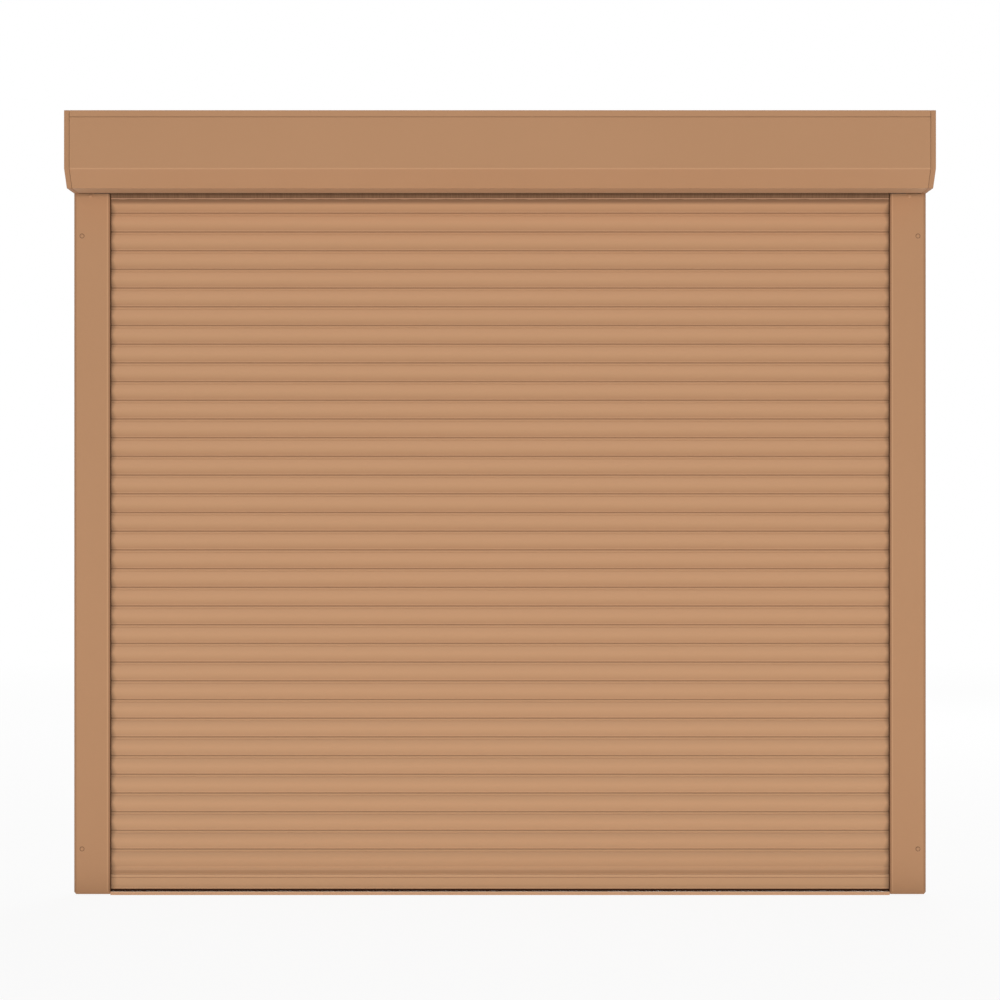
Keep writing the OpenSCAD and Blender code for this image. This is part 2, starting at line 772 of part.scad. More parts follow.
// Plate that holds the motor's stud, screwed to the pad of the right end cap
module motor_bracket() {
    stud_hole = stud_side + 2 * part_gap;
    color(steel) difference() {
        translate([bracket_x, shaft_y - bracket_side / 2, shaft_z - bracket_side / 2])
            cube([bracket_t, bracket_side, bracket_side]);
        translate([bracket_x - cut, shaft_y - stud_hole / 2, shaft_z - stud_hole / 2])
            cube([bracket_t + 2 * cut, stud_hole, stud_hole]);
        at_bracket_screws() rod_x(screw_r + screw_gap, bracket_x - cut, bracket_x + bracket_t + cut, 0, 0);
    }
}

// Ring that carries the right end of the tube on the motor
module motor_crown() {
    color(plastic) difference() {
        union() {
            shaft_bar(shaft_in, tube_right - crown_l, tube_right + part_gap);
            shaft_bar(flange_af, tube_right + part_gap, tube_right + flange_t);
        }
        rod_x(motor_r + run_fit, tube_right - crown_l - cut, tube_right + flange_t + cut, shaft_y, shaft_z);
    }
}

// Wheel on the motor's output stub, which turns the tube
module drive_wheel() {
    color(plastic) {
        shaft_bar(shaft_in, wheel_x, wheel_x + wheel_l);
        rod_x(stub_r, wheel_x + wheel_l - cut, motor_end + stub_l, shaft_y, shaft_z);
    }
}

// Flat piece of strap between two points in y and z, with round ends
module strap_run(a, b) {
    run = b - a;
    translate(a) rotate(atan2(run[1], run[0])) translate([0, -strap_t / 2]) square([norm(run), strap_t]);
    for (p = [a, b]) translate(p) circle(strap_t / 2);
}

// Section of a hanger strap: along a flat of the tube, across to the curtain, and round the top hook
module strap_section() {
    lap_y = flat_y + part_gap + strap_t / 2;
    lap_low = [lap_y, shaft_z - strap_lap / 2];
    ring_top = top_hook + [0, strap_ring + strap_t / 2];
    slit = web_t + 2 * hook_play;
    strap_run([lap_y, shaft_z + strap_lap / 2], lap_low);
    strap_run(lap_low, ring_top);
    difference() {
        translate(top_hook) circle(strap_ring + strap_t);
        translate(top_hook) circle(strap_ring);
        translate(top_hook - [slit / 2, 2 * strap_ring]) square([slit, 2 * strap_ring]);
    }
}

// Spring steel straps that hang the curtain on the tube
module hanger_straps() {
    color(steel) for (i = [0 : strap_count - 1]) {
        middle = strap_span * (i / (strap_count - 1) - 0.5);
        along_x(middle - strap_w / 2, middle + strap_w / 2) strap_section();
    }
}

// Pan head screw along +Z, with its head below z = 0
module screw() {
    cylinder(r = screw_r, h = screw_l);
    difference() {
        translate([0, 0, -screw_head_h])
            cylinder(r1 = screw_head_r - screw_taper, r2 = screw_head_r, h = screw_head_h);
        translate([-screw_head_r, -screw_slot / 2, -screw_head_h - cut])
            cube([2 * screw_head_r, screw_slot, screw_head_h / 2 + cut]);
    }
}

// The tongue screws below the headbox and the screws of the motor bracket
module fixing_screws() {
    color(steel) {
        both_sides() translate([tongue_screw_x, -guide_d, tongue_screw_z]) rotate([-90, 0, 0]) screw();
        at_bracket_screws() translate([bracket_x, 0, 0]) rotate([0, 90, 0]) screw();
    }
}

for (i = [1 : slat_count]) on_wall() slat(i);
on_wall() bottom_bar();
on_wall() bottom_seal();
on_wall() sill_strip();
on_wall() guide_left();
on_wall() guide_right();
on_wall() guide_seals();
on_wall() guide_feet();
on_wall() guide_inlets();
on_wall() hole_plugs();
on_wall() top_rear_cover();
on_wall() inspection_cover();
on_wall() end_cap_left();
on_wall() end_cap_right();
on_wall() cable_grommet();
on_wall() shaft_tube();
on_wall() idler_plug();
on_wall() bearing_bush();
on_wall() motor();
on_wall() motor_bracket();
on_wall() motor_crown();
on_wall() drive_wheel();
on_wall() hanger_straps();
on_wall() fixing_screws();
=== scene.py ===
import math
import bpy
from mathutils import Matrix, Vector


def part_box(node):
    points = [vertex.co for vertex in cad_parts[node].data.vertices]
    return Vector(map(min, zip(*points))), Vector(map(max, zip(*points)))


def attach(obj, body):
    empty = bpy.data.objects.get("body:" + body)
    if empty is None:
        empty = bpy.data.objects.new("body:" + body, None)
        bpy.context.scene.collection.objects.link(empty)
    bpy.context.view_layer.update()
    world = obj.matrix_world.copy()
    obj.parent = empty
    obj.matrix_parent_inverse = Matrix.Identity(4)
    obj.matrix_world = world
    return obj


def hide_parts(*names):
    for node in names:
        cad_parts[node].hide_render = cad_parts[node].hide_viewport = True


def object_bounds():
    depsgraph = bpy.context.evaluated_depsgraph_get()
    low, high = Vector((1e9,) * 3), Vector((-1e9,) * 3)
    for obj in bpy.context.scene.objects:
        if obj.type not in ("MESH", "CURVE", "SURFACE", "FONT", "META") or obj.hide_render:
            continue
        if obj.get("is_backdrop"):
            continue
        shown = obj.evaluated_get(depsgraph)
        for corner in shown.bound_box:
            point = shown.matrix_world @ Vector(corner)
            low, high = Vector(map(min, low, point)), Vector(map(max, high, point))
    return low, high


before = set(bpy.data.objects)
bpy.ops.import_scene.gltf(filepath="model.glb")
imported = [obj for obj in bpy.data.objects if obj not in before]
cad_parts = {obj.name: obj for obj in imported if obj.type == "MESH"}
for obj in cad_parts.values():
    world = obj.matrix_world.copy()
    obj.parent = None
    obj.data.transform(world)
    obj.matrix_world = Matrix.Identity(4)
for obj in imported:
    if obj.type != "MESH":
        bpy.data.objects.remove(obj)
cad_low, cad_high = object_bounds()


# Camera
# A long lens looks straight at the wall, a little above the middle of the shutter, so that all edges
# stay upright and level. Its lens is worked out for a picture 1000 pixels wide, at 2745 pixels of focal length.
sensor, picture_px, focal_px = 36, 1000, 2745
bpy.ops.object.camera_add(location=(0, -6.658, 0.10255), rotation=(math.radians(90), 0, 0))
camera = bpy.context.object
camera.name = "front_camera"
camera.data.sensor_width = sensor
camera.data.lens = sensor * focal_px / picture_px
bpy.context.scene.camera = camera
bpy.context.scene.view_settings.view_transform = "Standard"


# Floor and studio light
# A white floor that runs out into a white tent. A far, soft lamp, nearly level, gives most of the light. A
# glowing table on the floor lights what looks down, and three lamps reach the headbox, its top and the wall side.
mm = 0.001
colour_mix = {"data_type": "RGBA"}


def linear(hex_colour):
    """The linear colour of an sRGB hex value."""
    parts = [int(hex_colour[i:i + 2], 16) / 255 for i in (1, 3, 5)]
    return [p / 12.92 if p <= 0.04045 else ((p + 0.055) / 1.055) ** 2.4 for p in parts] + [1.0]


def add_node(tree, kind, settings, sockets, stops=()):
    """One shader node, with its settings, its sockets and the stops of a ramp.

    A socket gets a number, a hex colour, or an output to link in. A whole node stands for its first live output.
    """
    node = tree.nodes.new("ShaderNode" + kind)
    for name, value in settings.items():
        setattr(node, name, value)
    for socket, value in sockets.items():
        if isinstance(value, bpy.types.Node):
            value = next(output for output in value.outputs if output.enabled)
        if isinstance(value, bpy.types.NodeSocket):
            tree.links.new(value, node.inputs[socket])
        else:
            node.inputs[socket].default_value = linear(value) if isinstance(value, str) else value
    for k, (at, colour) in enumerate(stops):
        stop = node.color_ramp.elements.new(at) if k else node.color_ramp.elements[0]
        stop.color = linear(colour)
    if stops:
        node.color_ramp.elements.remove(node.color_ramp.elements[-1])
    return node


def open_finish(name):
    """An empty material, its node tree, and the place on the piece that its patterns read."""
    finish = bpy.data.materials.new(name)
    finish.use_nodes = True
    finish.node_tree.nodes.clear()
    return finish, finish.node_tree, add_node(finish.node_tree, "TexCoord", {}, {}).outputs["Object"]


def seen_share(tree):
    """1 for the rays that show the background, straight, in a gloss or through glass, and 0 for the others."""
    ray = add_node(tree, "LightPath", {}, {})
    seen = add_node(tree, "Math", {"operation": "MAXIMUM"},
                    {0: ray.outputs["Is Camera Ray"], 1: ray.outputs["Is Glossy Ray"]})
    return add_node(tree, "Math", {"operation": "MAXIMUM"}, {0: seen, 1: ray.outputs["Is Transmission Ray"]})


bpy.context.scene.world = bpy.data.worlds.new("light_tent")
bpy.context.scene.world.use_nodes = True
sky = bpy.context.scene.world.node_tree
sky.nodes.clear()
tent_light = add_node(sky, "MapRange", {}, {"Value": seen_share(sky), "To Min": 0.25, "To Max": 1.0})
tent = add_node(sky, "Background", {}, {"Color": "#FFFFFF", "Strength": tent_light})
add_node(sky, "OutputWorld", {}, {"Surface": tent})

bpy.ops.object.select_all(action="DESELECT")
bpy.ops.mesh.primitive_plane_add(size=60, location=(0, 0, cad_low.z - 0.2 * mm))
floor = bpy.context.object
floor.name = "studio_floor"
bpy.ops.object.transform_apply(location=True)
# White painted boards: matt, with the faint mottle of a roller. To the camera they are near white with
# the shadow of the shutter on them, and quite white further off.
boards, tree, place = open_finish("white_painted_boards")
mottle = add_node(tree, "TexNoise", {}, {"Vector": place, "Scale": 1 / (60 * mm), "Detail": 3})
white = add_node(tree, "Mix", colour_mix, {0: mottle, 6: "#F2F2F2", 7: "#F7F7F7"})
matt = add_node(tree, "BsdfDiffuse", {}, {"Color": white})
glow = add_node(tree, "Emission", {}, {"Color": "#FFFFFF", "Strength": 1.0})
away = add_node(tree, "VectorMath", {"operation": "LENGTH"}, {0: place})
white_out = add_node(tree, "MapRange", {}, {"Value": away, "From Min": 2.0, "From Max": 10.0,
                                            "To Min": 0.92, "To Max": 1.0})
share = add_node(tree, "Math", {"operation": "MULTIPLY"}, {0: seen_share(tree), 1: white_out})
both = add_node(tree, "MixShader", {}, {0: share, 1: matt, 2: glow})
add_node(tree, "OutputMaterial", {}, {"Surface": both})
floor.data.materials.append(boards)
floor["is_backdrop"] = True

bpy.ops.object.light_add(type="SUN", location=(0, -7.0, 1.6), rotation=(math.radians(88), 0, 0))
key_lamp = bpy.context.object
key_lamp.name = "key_lamp"
key_lamp.data.energy = 1.28
key_lamp.data.angle = math.radians(7)
key_lamp.visible_glossy = False
for lamp_name, spot, aim, size, power in (
        ("light_table", (0, -5.08, cad_low.z + 0.5 * mm), (0, -5.08, 5.0), 10.0, 150),
        ("headbox_lamp", (0, -5.0, 1.3), (0, 0, 0.7), 2.0, 22),
        ("top_lamp", (0, 0.5, 4.0), (0, 0.5, 0), 2.5, 45),
        ("wall_side_lamp", (1.5, 6.0, 2.5), (0, 0, 0.1), 3.0, 170)):
    bpy.ops.object.light_add(type="AREA", location=spot)
    lamp = bpy.context.object
    lamp.name = lamp_name
    lamp.rotation_euler = (Vector(aim) - Vector(spot)).to_track_quat("-Z", "Y").to_euler()
    lamp.data.size = size
    lamp.data.energy = power
    lamp.visible_camera = False
    lamp.visible_glossy = lamp_name == "wall_side_lamp"


# Guide rails
# Two extruded aluminium sections, powder coated, screwed to the wall through their back. The inner half
# is the channel that the curtain runs in, and the outer half is a chamber with room for the screws.
soft_step = {"interpolation_type": "SMOOTHSTEP"}
warm_gloss = "#FFC395"


def rounded(corners, steps=6):
    """The outline through these corners, each with two places and the radius that it is rounded by."""
    points = []
    for i, (a, b, radius) in enumerate(corners):
        here = Vector((a, b))
        if radius == 0:
            points.append(here)
            continue
        back = (Vector(corners[i - 1][:2]) - here).normalized()
        on = (Vector(corners[(i + 1) % len(corners)][:2]) - here).normalized()
        half = back.angle(on) / 2
        middle = here + (back + on).normalized() * radius / math.sin(half)
        start, end = (here + way * radius / math.tan(half) - middle for way in (back, on))
        turn = math.atan2(start.x * end.y - start.y * end.x, start.dot(end))
        first = math.atan2(start.y, start.x)
        for step in range(steps + 1):
            angle = first + turn * step / steps
            points.append(middle + radius * Vector((math.cos(angle), math.sin(angle))))
    return points


def draw_out(name, outline, axis, low, high):
    """A bar of one section: a point is extruded round the outline, filled, and drawn out along an axis."""
    order = {"X": (2, 0, 1), "Y": (0, 2, 1), "Z": (0, 1, 2)}[axis]
    corners = [Vector([(p[0], p[1], low)[k] for k in order]) for p in outline]
    bpy.ops.object.select_all(action="DESELECT")
    bpy.ops.mesh.primitive_plane_add(size=1, location=corners[0])
    piece = bpy.context.object
    piece.name = piece.data.name = name
    bpy.ops.object.mode_set(mode="EDIT")
    bpy.ops.mesh.select_mode(type="VERT")
    bpy.ops.mesh.select_all(action="SELECT")
    bpy.ops.mesh.merge(type="CENTER")
    for here, there in zip(corners, corners[1:]):
        bpy.ops.mesh.extrude_region_move(TRANSFORM_OT_translate={"value": there - here})
    bpy.ops.mesh.select_all(action="SELECT")
    bpy.ops.mesh.edge_face_add()
    bpy.ops.mesh.select_all(action="SELECT")
    way = Vector([(0, 0, high - low)[k] for k in order])
    bpy.ops.mesh.extrude_region_move(TRANSFORM_OT_translate={"value": way})
    bpy.ops.mesh.select_all(action="SELECT")
    bpy.ops.mesh.normals_make_consistent(inside=False)
    bpy.ops.object.mode_set(mode="OBJECT")
    bpy.ops.object.transform_apply(location=True)
    return piece


def block(name, low, high):
    """A square block between two corners."""
    return draw_out(name, [(low[0], low[1]), (high[0], low[1]), (high[0], high[1]), (low[0], high[1])],
                    "Z", low[2], high[2])


def round_bar(radius, middle, turn, length, sides=40):
    """A round bar, along Z and then turned: a tool for a hole, or the start of a round piece."""
    bpy.ops.object.select_all(action="DESELECT")
    bpy.ops.mesh.primitive_cylinder_add(vertices=sides, radius=radius, depth=length, location=middle, rotation=turn)
    bpy.ops.object.transform_apply(location=True, rotation=True)
    return bpy.context.object


def pick(*pieces):
    """Selects these pieces alone, the first of them active."""
    bpy.ops.object.select_all(action="DESELECT")
    for piece in pieces:
        piece.select_set(True)
    bpy.context.view_layer.objects.active = pieces[0]


def cut_away(piece, *tools):
    """Cuts the shapes of the tools out of a piece, and clears them away."""
    pick(piece)
    for tool in tools:
        cut = piece.modifiers.new("cut", "BOOLEAN")
        cut.object = tool
        cut.solver = "EXACT"
        bpy.ops.object.modifier_apply(modifier=cut.name)
        bpy.data.objects.remove(tool)


def soften(piece, edge=0.0):
    """Rounds the sharp edges by a small radius, and shades the curves smooth and the flats flat."""
    pick(piece)
    if edge:
        round_edge = piece.modifiers.new("round_edge", "BEVEL")
        round_edge.width = edge
        round_edge.segments = 2
        round_edge.limit_method = "ANGLE"
        round_edge.angle_limit = math.radians(40)
        bpy.ops.object.modifier_apply(modifier=round_edge.name)
    bpy.ops.object.shade_smooth_by_angle(angle=math.radians(35))
    flats = piece.modifiers.new("flats", "WEIGHTED_NORMAL")
    flats.keep_sharp = True
    bpy.ops.object.modifier_apply(modifier=flats.name)


def copy_of(piece, name, by=(0, 0, 0)):
    """A copy of a piece, with a mesh of its own, moved by some way."""
    pick(piece)
    bpy.ops.object.duplicate()
    copy = bpy.context.object
    copy.name = copy.data.name = name
    copy.location = by
    bpy.ops.object.transform_apply(location=True)
    return copy


def other_hand(piece, name):
    """A copy of a piece for the other end of the shutter, mirrored across its middle and shaded anew."""
    copy = copy_of(piece, name)
    bpy.ops.object.mode_set(mode="EDIT")
    bpy.ops.mesh.select_all(action="SELECT")
    bpy.ops.transform.resize(value=(-1, 1, 1), center_override=(0, 0, 0))
    bpy.ops.mesh.normals_make_consistent(inside=False)
    bpy.ops.object.mode_set(mode="OBJECT")
    soften(copy)
    return copy


def fit(piece, body, slot, finish, *nodes):
    """Gives a finished piece its finish, unless it has one, and the body and the CAD nodes that it belongs to."""
    if not piece.data.materials:
        piece.data.materials.append(finish)
    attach(piece, body)
    if nodes:
        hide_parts(*nodes)


def close_finish(tree, tone, pattern, sockets, rough=None, bump=None):
    """Ends a finish in its shader.

    A pattern sets how rough it is, between two values, and its relief, by a strength and a height.
    """
    sockets = {"Base Color": tone, **sockets}
    if rough:
        low, high = rough
        sockets["Roughness"] = add_node(tree, "MapRange", {}, {"Value": pattern, "To Min": low, "To Max": high})
    if bump:
        strength, relief = bump
        sockets["Normal"] = add_node(tree, "Bump", {},
                                     {"Strength": strength, "Distance": relief, "Height": pattern})
    add_node(tree, "OutputMaterial", {}, {"Surface": add_node(tree, "BsdfPrincipled", {}, sockets)})


def powder_coat(name, dark="#B28765", light="#B68B69", marks=()):
    """A powder coat between two tones, with soft lines along edges: axis across, place, half width, tone of each.

    Polyester powder, baked on aluminium: satin, with a slight orange peel and a faint drift of tone. Its pigments
    tint the gloss. The peel is about 2 mm from crest to crest, drawn at 5 mm so that it shows.
    """
    finish, tree, place = open_finish(name)
    drift = add_node(tree, "TexNoise", {}, {"Vector": place, "Scale": 1 / (280 * mm), "Detail": 2})
    tone = add_node(tree, "Mix", colour_mix, {0: drift, 6: dark, 7: light})
    spot = add_node(tree, "SeparateXYZ", {}, {"Vector": place})
    for axis, at, half, colour in marks:
        off = add_node(tree, "Math", {"operation": "ABSOLUTE"}, {0: spot.outputs[axis]})
        off = add_node(tree, "Math", {"operation": "SUBTRACT"}, {0: off, 1: at})
        off = add_node(tree, "Math", {"operation": "ABSOLUTE"}, {0: off})
        mark = add_node(tree, "MapRange", soft_step,
                        {"Value": off, "From Min": half / 3, "From Max": half, "To Min": 1.0, "To Max": 0.0})
        tone = add_node(tree, "Mix", colour_mix, {0: mark, 6: tone, 7: colour})
    peel = add_node(tree, "TexNoise", {}, {"Vector": place, "Scale": 1 / (5 * mm), "Detail": 1})
    close_finish(tree, tone, peel, {"IOR": 1.5, "Specular Tint": warm_gloss}, (0.58, 0.7), (0.15, 0.1 * mm))
    return finish


rail_low, rail_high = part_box("guide_right")
inner, outer, front = rail_low.x, rail_high.x, rail_low.y
channel_y = front / 2
rail_box = [(inner, front, 5 * mm), (outer, front, 5 * mm), (outer, 0, 0.5 * mm), (inner, 0, 0.5 * mm)]
# Half of the channel's outline, from the mouth's edge to its far wall: mm from the rail's inner edge,
# mm from the channel's middle, and the radius there. The step in it holds a sealing strip.
half_channel = [(0, 7.5, 0.6), (2.5, 7.5, 0), (2.5, 9, 0), (5.5, 9, 0), (5.5, 7.5, 0),
                (8, 7.5, 0.6), (8, 11.8, 0), (36, 11.8, 0)]
section = rail_box + [(inner + x * mm, channel_y + y * mm, r * mm) for x, y, r in half_channel]
section += [(inner + x * mm, channel_y - y * mm, r * mm) for x, y, r in reversed(half_channel)]
right_rail = draw_out("rail_right", rounded(section), "Z", rail_low.z, rail_high.z)
chamber_low = Vector((inner + 38.2 * mm, front + 2.2 * mm))
chamber_high = Vector((inner + 84.8 * mm, -2.2 * mm))
wall_x, wall_z = outer - 19.5 * mm, (-740.25 * mm, 740.25 * mm)
screw_x, screw_z = inner + 47 * mm, rail_high.z - 6 * mm
wall_hole, access_hole, screw_hole = 3.25 * mm, 5 * mm, 2.6 * mm
flat, drill = (math.radians(90), 0, 0), 10 * mm
cut_away(right_rail,
         block("chamber", (*chamber_low, rail_low.z - 50 * mm), (*chamber_high, rail_high.z + 50 * mm)),
         *[round_bar(wall_hole, (wall_x, 0, z), flat, drill) for z in wall_z],
         *[round_bar(access_hole, (wall_x, front, z), flat, drill) for z in wall_z],
         round_bar(screw_hole, (screw_x, front, screw_z), flat, drill))
soften(right_rail)
left_rail = other_hand(right_rail, "rail_left")
# A painted highlight beside the channel's mouth, and painted shade along both rounded edges, where they turn from
# the light.
rail_coat = powder_coat("powder_coated_rail", marks=(
    ("X", inner + 6.2 * mm, 1.8 * mm, "#C19572"), ("X", inner + 2 * mm, 3.2 * mm, "#A57D5E"),
    ("X", outer - 3.8 * mm, 4 * mm, "#A57D5E")))
for rail, node in ((right_rail, "guide_right"), (left_rail, "guide_left")):
    fit(rail, "frame", "frame_paint", rail_coat, node)


# Sealing strips
# Soft black strips slid into the grooves of the channel's mouth, on both sides of the curtain. They keep
# the slats from rattling on the rails.
def lines_along(tree, place, changes):
    """Fine lines along a piece, by how often they change in a metre of each axis."""
    stretched = add_node(tree, "Mapping", {}, {"Vector": place, "Scale": changes})
    return add_node(tree, "TexNoise", {}, {"Vector": stretched, "Scale": 1.0, "Detail": 2})


def dress(node, finish):
    """Gives a CAD node that stays in view its finish."""
    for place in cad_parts[node].material_slots:
        place.material = finish


# EPDM rubber, extruded: nearly black with a brown cast, matt, with fine die lines that run along it.
# The lines are about 0.3 mm apart, drawn at 1.5 mm so that they show.
rubber, tree, place = open_finish("extruded_epdm_rubber")
lines = lines_along(tree, place, (2.0, 1 / (1.5 * mm), 1 / (1.5 * mm)))
tone = add_node(tree, "Mix", colour_mix, {0: lines, 6: "#2E1C13", 7: "#3C261B"})
close_finish(tree, tone, lines, {"IOR": 1.5, "Specular IOR Level": 0.25, "Specular Tint": warm_gloss},
             (0.7, 0.9), (0.3, 0.1 * mm))
dress("guide_seals", rubber)


# Guide feet
# Injection moulded end pieces in the colour of the rails. Each closes the foot of a rail, with a plug up
# its chamber and a lug into the end of the sill strip, and its outer lower corner is chamfered.
foot_z, foot_thick, corner_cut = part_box("guide_feet")[0].z, 6 * mm, 5.5 * mm
lug_half, lug_thick = 8.2 * mm, 3.2 * mm
# What slides into a rail's chamber has 0.3 mm of play all round.
plug_low = chamber_low + Vector((0.3, 0.3)) * mm
plug_high = chamber_high - Vector((0.3, 0.3)) * mm


def joined(piece, *others):
    """One piece from several."""
    pick(piece, *others)
    bpy.ops.object.join()
    return piece


# ASA, moulded and coloured through: the same tan as the powder coat, a little duller, with the fine
# grain of an eroded mould. The grain is about 0.1 mm, drawn at 1.2 mm so that it shows.
moulded_tan, tree, place = open_finish("moulded_tan_plastic")
grain = add_node(tree, "TexNoise", {}, {"Vector": place, "Scale": 1 / (1.2 * mm), "Detail": 2})
drift = add_node(tree, "TexNoise", {}, {"Vector": place, "Scale": 1 / (25 * mm), "Detail": 1})
tone = add_node(tree, "Mix", colour_mix, {0: drift, 6: "#B18664", 7: "#B58A68"})
close_finish(tree, tone, grain, {"IOR": 1.49, "Specular Tint": warm_gloss}, (0.6, 0.75), (0.2, 0.08 * mm))
right_foot = draw_out("foot_right", rounded(rail_box), "Z", foot_z, foot_z + foot_thick)
# The wedge that cuts the corner reaches past the foot on every side. Cut by a plane, the corner would be
# rounded a little differently from run to run.
past = 1 * mm
wedge = [(outer - corner_cut - past, foot_z - past), (outer + past, foot_z - past),
         (outer + past, foot_z + corner_cut + past)]
cut_away(right_foot, draw_out("foot_wedge", wedge, "Y", front - past, past))
soften(right_foot, 0.4 * mm)
foot_plug = block("foot_plug", (*plug_low, foot_z + 5 * mm), (*plug_high, foot_z + 18 * mm))
foot_lug = block("foot_lug", (inner - 20 * mm, channel_y - lug_half, foot_z),
                 (inner + 1 * mm, channel_y + lug_half, foot_z + lug_thick))
for part in (foot_plug, foot_lug):
    soften(part, 0.6 * mm)
joined(right_foot, foot_plug, foot_lug)
for foot in (right_foot, other_hand(right_foot, "foot_left")):
    fit(foot, "frame", "trim_paint", moulded_tan, "guide_feet")


# Hole plugs
# Small moulded caps with a low dome, pressed into the access holes of the rails once the wall screws are
# in. A thin rim lies on the rail round each hole.
def face_select(piece, way):
    """Selects, in edit mode, the one face that looks furthest out in a direction."""
    bpy.ops.object.mode_set(mode="EDIT")
    bpy.ops.mesh.select_mode(type="FACE")
    bpy.ops.mesh.select_all(action="DESELECT")
    bpy.ops.object.mode_set(mode="OBJECT")
    way = Vector(way)
    far = max((face for face in piece.data.polygons if face.normal.dot(way) > 0.99),
              key=lambda face: face.center.dot(way))
    far.select = True
    bpy.ops.object.mode_set(mode="EDIT")


def headed_pin(name, disc, rings, neck, shank, tip):
    """Shapes a disc into a domed head on a shank.

    In mm: the rings of the dome, each by its width and rise, the step in to the shank, its length, and its tip.
    """
    disc.name = disc.data.name = name
    face_select(disc, (0, -1, 0))
    for width, rise in rings:
        bpy.ops.mesh.inset(thickness=width * mm, depth=rise * mm)
    face_select(disc, (0, 1, 0))
    bpy.ops.mesh.inset(thickness=neck * mm)
    bpy.ops.mesh.extrude_region_move(TRANSFORM_OT_translate={"value": (0, shank * mm, 0)})
    bpy.ops.mesh.inset(thickness=tip[0] * mm, depth=tip[1] * mm)
    bpy.ops.object.mode_set(mode="OBJECT")
    return disc


def mottled(name, size, detail, dark, light, sockets, rough=None, bump=None):
    """A finish in two tones, mottled in patches of one size, which also set how rough it is and its relief."""
    finish, tree, place = open_finish(name)
    patches = add_node(tree, "TexNoise", {}, {"Vector": place, "Scale": 1 / size, "Detail": detail})
    tone = add_node(tree, "Mix", colour_mix, {0: patches, 6: dark, 7: light})
    close_finish(tree, tone, patches, sockets, rough, bump)
    return finish


# Painted shade: a matt grey-brown in patches of about 3 mm, laid round the rims of the plugs and on the ledges that
# show in the seams.
seam_shade = mottled("settled_dust", 3 * mm, 3, "#5E4736", "#7C5F48", {"Roughness": 0.9, "Specular IOR Level": 0.2},
               bump=(0.3, 0.1 * mm))
plug_r, dome_r, rim_thick = 5.6 * mm, 4.5 * mm, 0.4 * mm
plug = headed_pin("hole_plug_lower_right",
                  round_bar(plug_r, (wall_x, front - rim_thick / 2, wall_z[0]), flat, rim_thick),
                  ((0.7, 0.05), (0.5, 0.3), (1.2, 0.17), (1.5, 0.06)), 0.75, 5.5, (0.8, 0.5))
soften(plug)
plug.data.materials.append(moulded_tan)
plug.data.materials.append(seam_shade)
# The rim and the step round the dome take the painted shade: the dark ring round each plug.
for face in plug.data.polygons:
    if math.hypot(face.center.x - wall_x, face.center.z - wall_z[0]) > dome_r:
        face.material_index = 1
across, up = -2 * wall_x, wall_z[1] - wall_z[0]
plugs = [plug] + [copy_of(plug, name, by) for name, by in (
    ("hole_plug_upper_right", (0, 0, up)), ("hole_plug_lower_left", (across, 0, 0)),
    ("hole_plug_upper_left", (across, 0, up)))]
for plug in plugs:
    fit(plug, "frame", "trim_paint", moulded_tan, "hole_plugs")


# Sill strip
# A hollow aluminium strip between the rails, laid on the sill under the curtain. The bottom seal closes
# on it, and the lugs of the guide feet hold its ends.
sill_low, sill_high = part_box("sill_strip")
sill_wall, sill_round = 1.5 * mm, 0.8 * mm


def lacquer_over(tree, place, tone):
    """Ends a lacquer over a tone: smoother than the powder coat, with faint drawing lines along it, 2 mm apart."""
    lines = lines_along(tree, place, (1.5, 1 / (6 * mm), 1 / (2 * mm)))
    close_finish(tree, tone, lines, {"IOR": 1.5, "Specular Tint": warm_gloss}, (0.4, 0.48), (0.06, 0.05 * mm))


# Clear-coated lacquer on rolled aluminium strip: a little glossier than the powder coat, and paler where it
# catches light. Its upper edge is painted paler still: painted light on the top of the strip, in the shade of the
# bar.
lacquer, tree, place = open_finish("lacquered_rolled_aluminium")
drift = add_node(tree, "TexNoise", {}, {"Vector": place, "Scale": 1 / (300 * mm), "Detail": 2})
tone = add_node(tree, "Mix", colour_mix, {0: drift, 6: "#D9AC87", 7: "#DDB08B"})
spot = add_node(tree, "SeparateXYZ", {}, {"Vector": place})
# Painted light along the upper edge of the strip.
painted_edge_light = add_node(tree, "MapRange", {}, {"Value": spot.outputs["Z"], "From Min": sill_high.z - 1.4 * mm,
                                         "From Max": sill_high.z - 0.6 * mm})
lacquer_over(tree, place, add_node(tree, "Mix", colour_mix, {0: painted_edge_light, 6: tone, 7: "#F6D3B4"}))
corners = ((sill_low.y, sill_low.z), (sill_high.y, sill_low.z),
           (sill_high.y, sill_high.z), (sill_low.y, sill_high.z))
sill = draw_out("sill_bar", rounded([(y, z, sill_round) for y, z in corners]), "X", sill_low.x, sill_high.x)
cut_away(sill, block("hollow", (sill_low.x - 1, sill_low.y + sill_wall, sill_low.z + sill_wall),
                     (sill_high.x + 1, sill_high.y - sill_wall, sill_high.z - sill_wall)))
soften(sill)
fit(sill, "frame", "slat_paint", lacquer, "sill_strip")


# End caps
# Two die-cast aluminium caps, powder coated like the rails. Each has a rim that frames the covers, a ledge
# inside it that they lie on, and a tongue that is screwed into the top of a rail.
box_z, box_top, box_d, half_w = rail_high.z, cad_high.z, -cad_low.y, cad_high.x
shaft_y, shaft_z = -box_d / 2, (box_z + box_top) / 2
chamfer, slot_y = 42 * mm, -40 * mm
hinge_z, hook_room = box_top - 17.4 * mm, 9.3 * mm
boss_r, bush_r, pad_half = 20.08 * mm, 14.23 * mm, 38 * mm
cable_r, cable_in, tongue_long, shelf_high = 7 * mm, 32 * mm, 40 * mm, 10 * mm
sideways = (0, math.radians(90), 0)
# Places along the right cap, in mm from its outer end.
wall_out, wall_middle, wall_in, rim_in, ledge_in, tool_in = (half_w - x * mm for x in (3, 4.5, 6, 12, 24, 40))


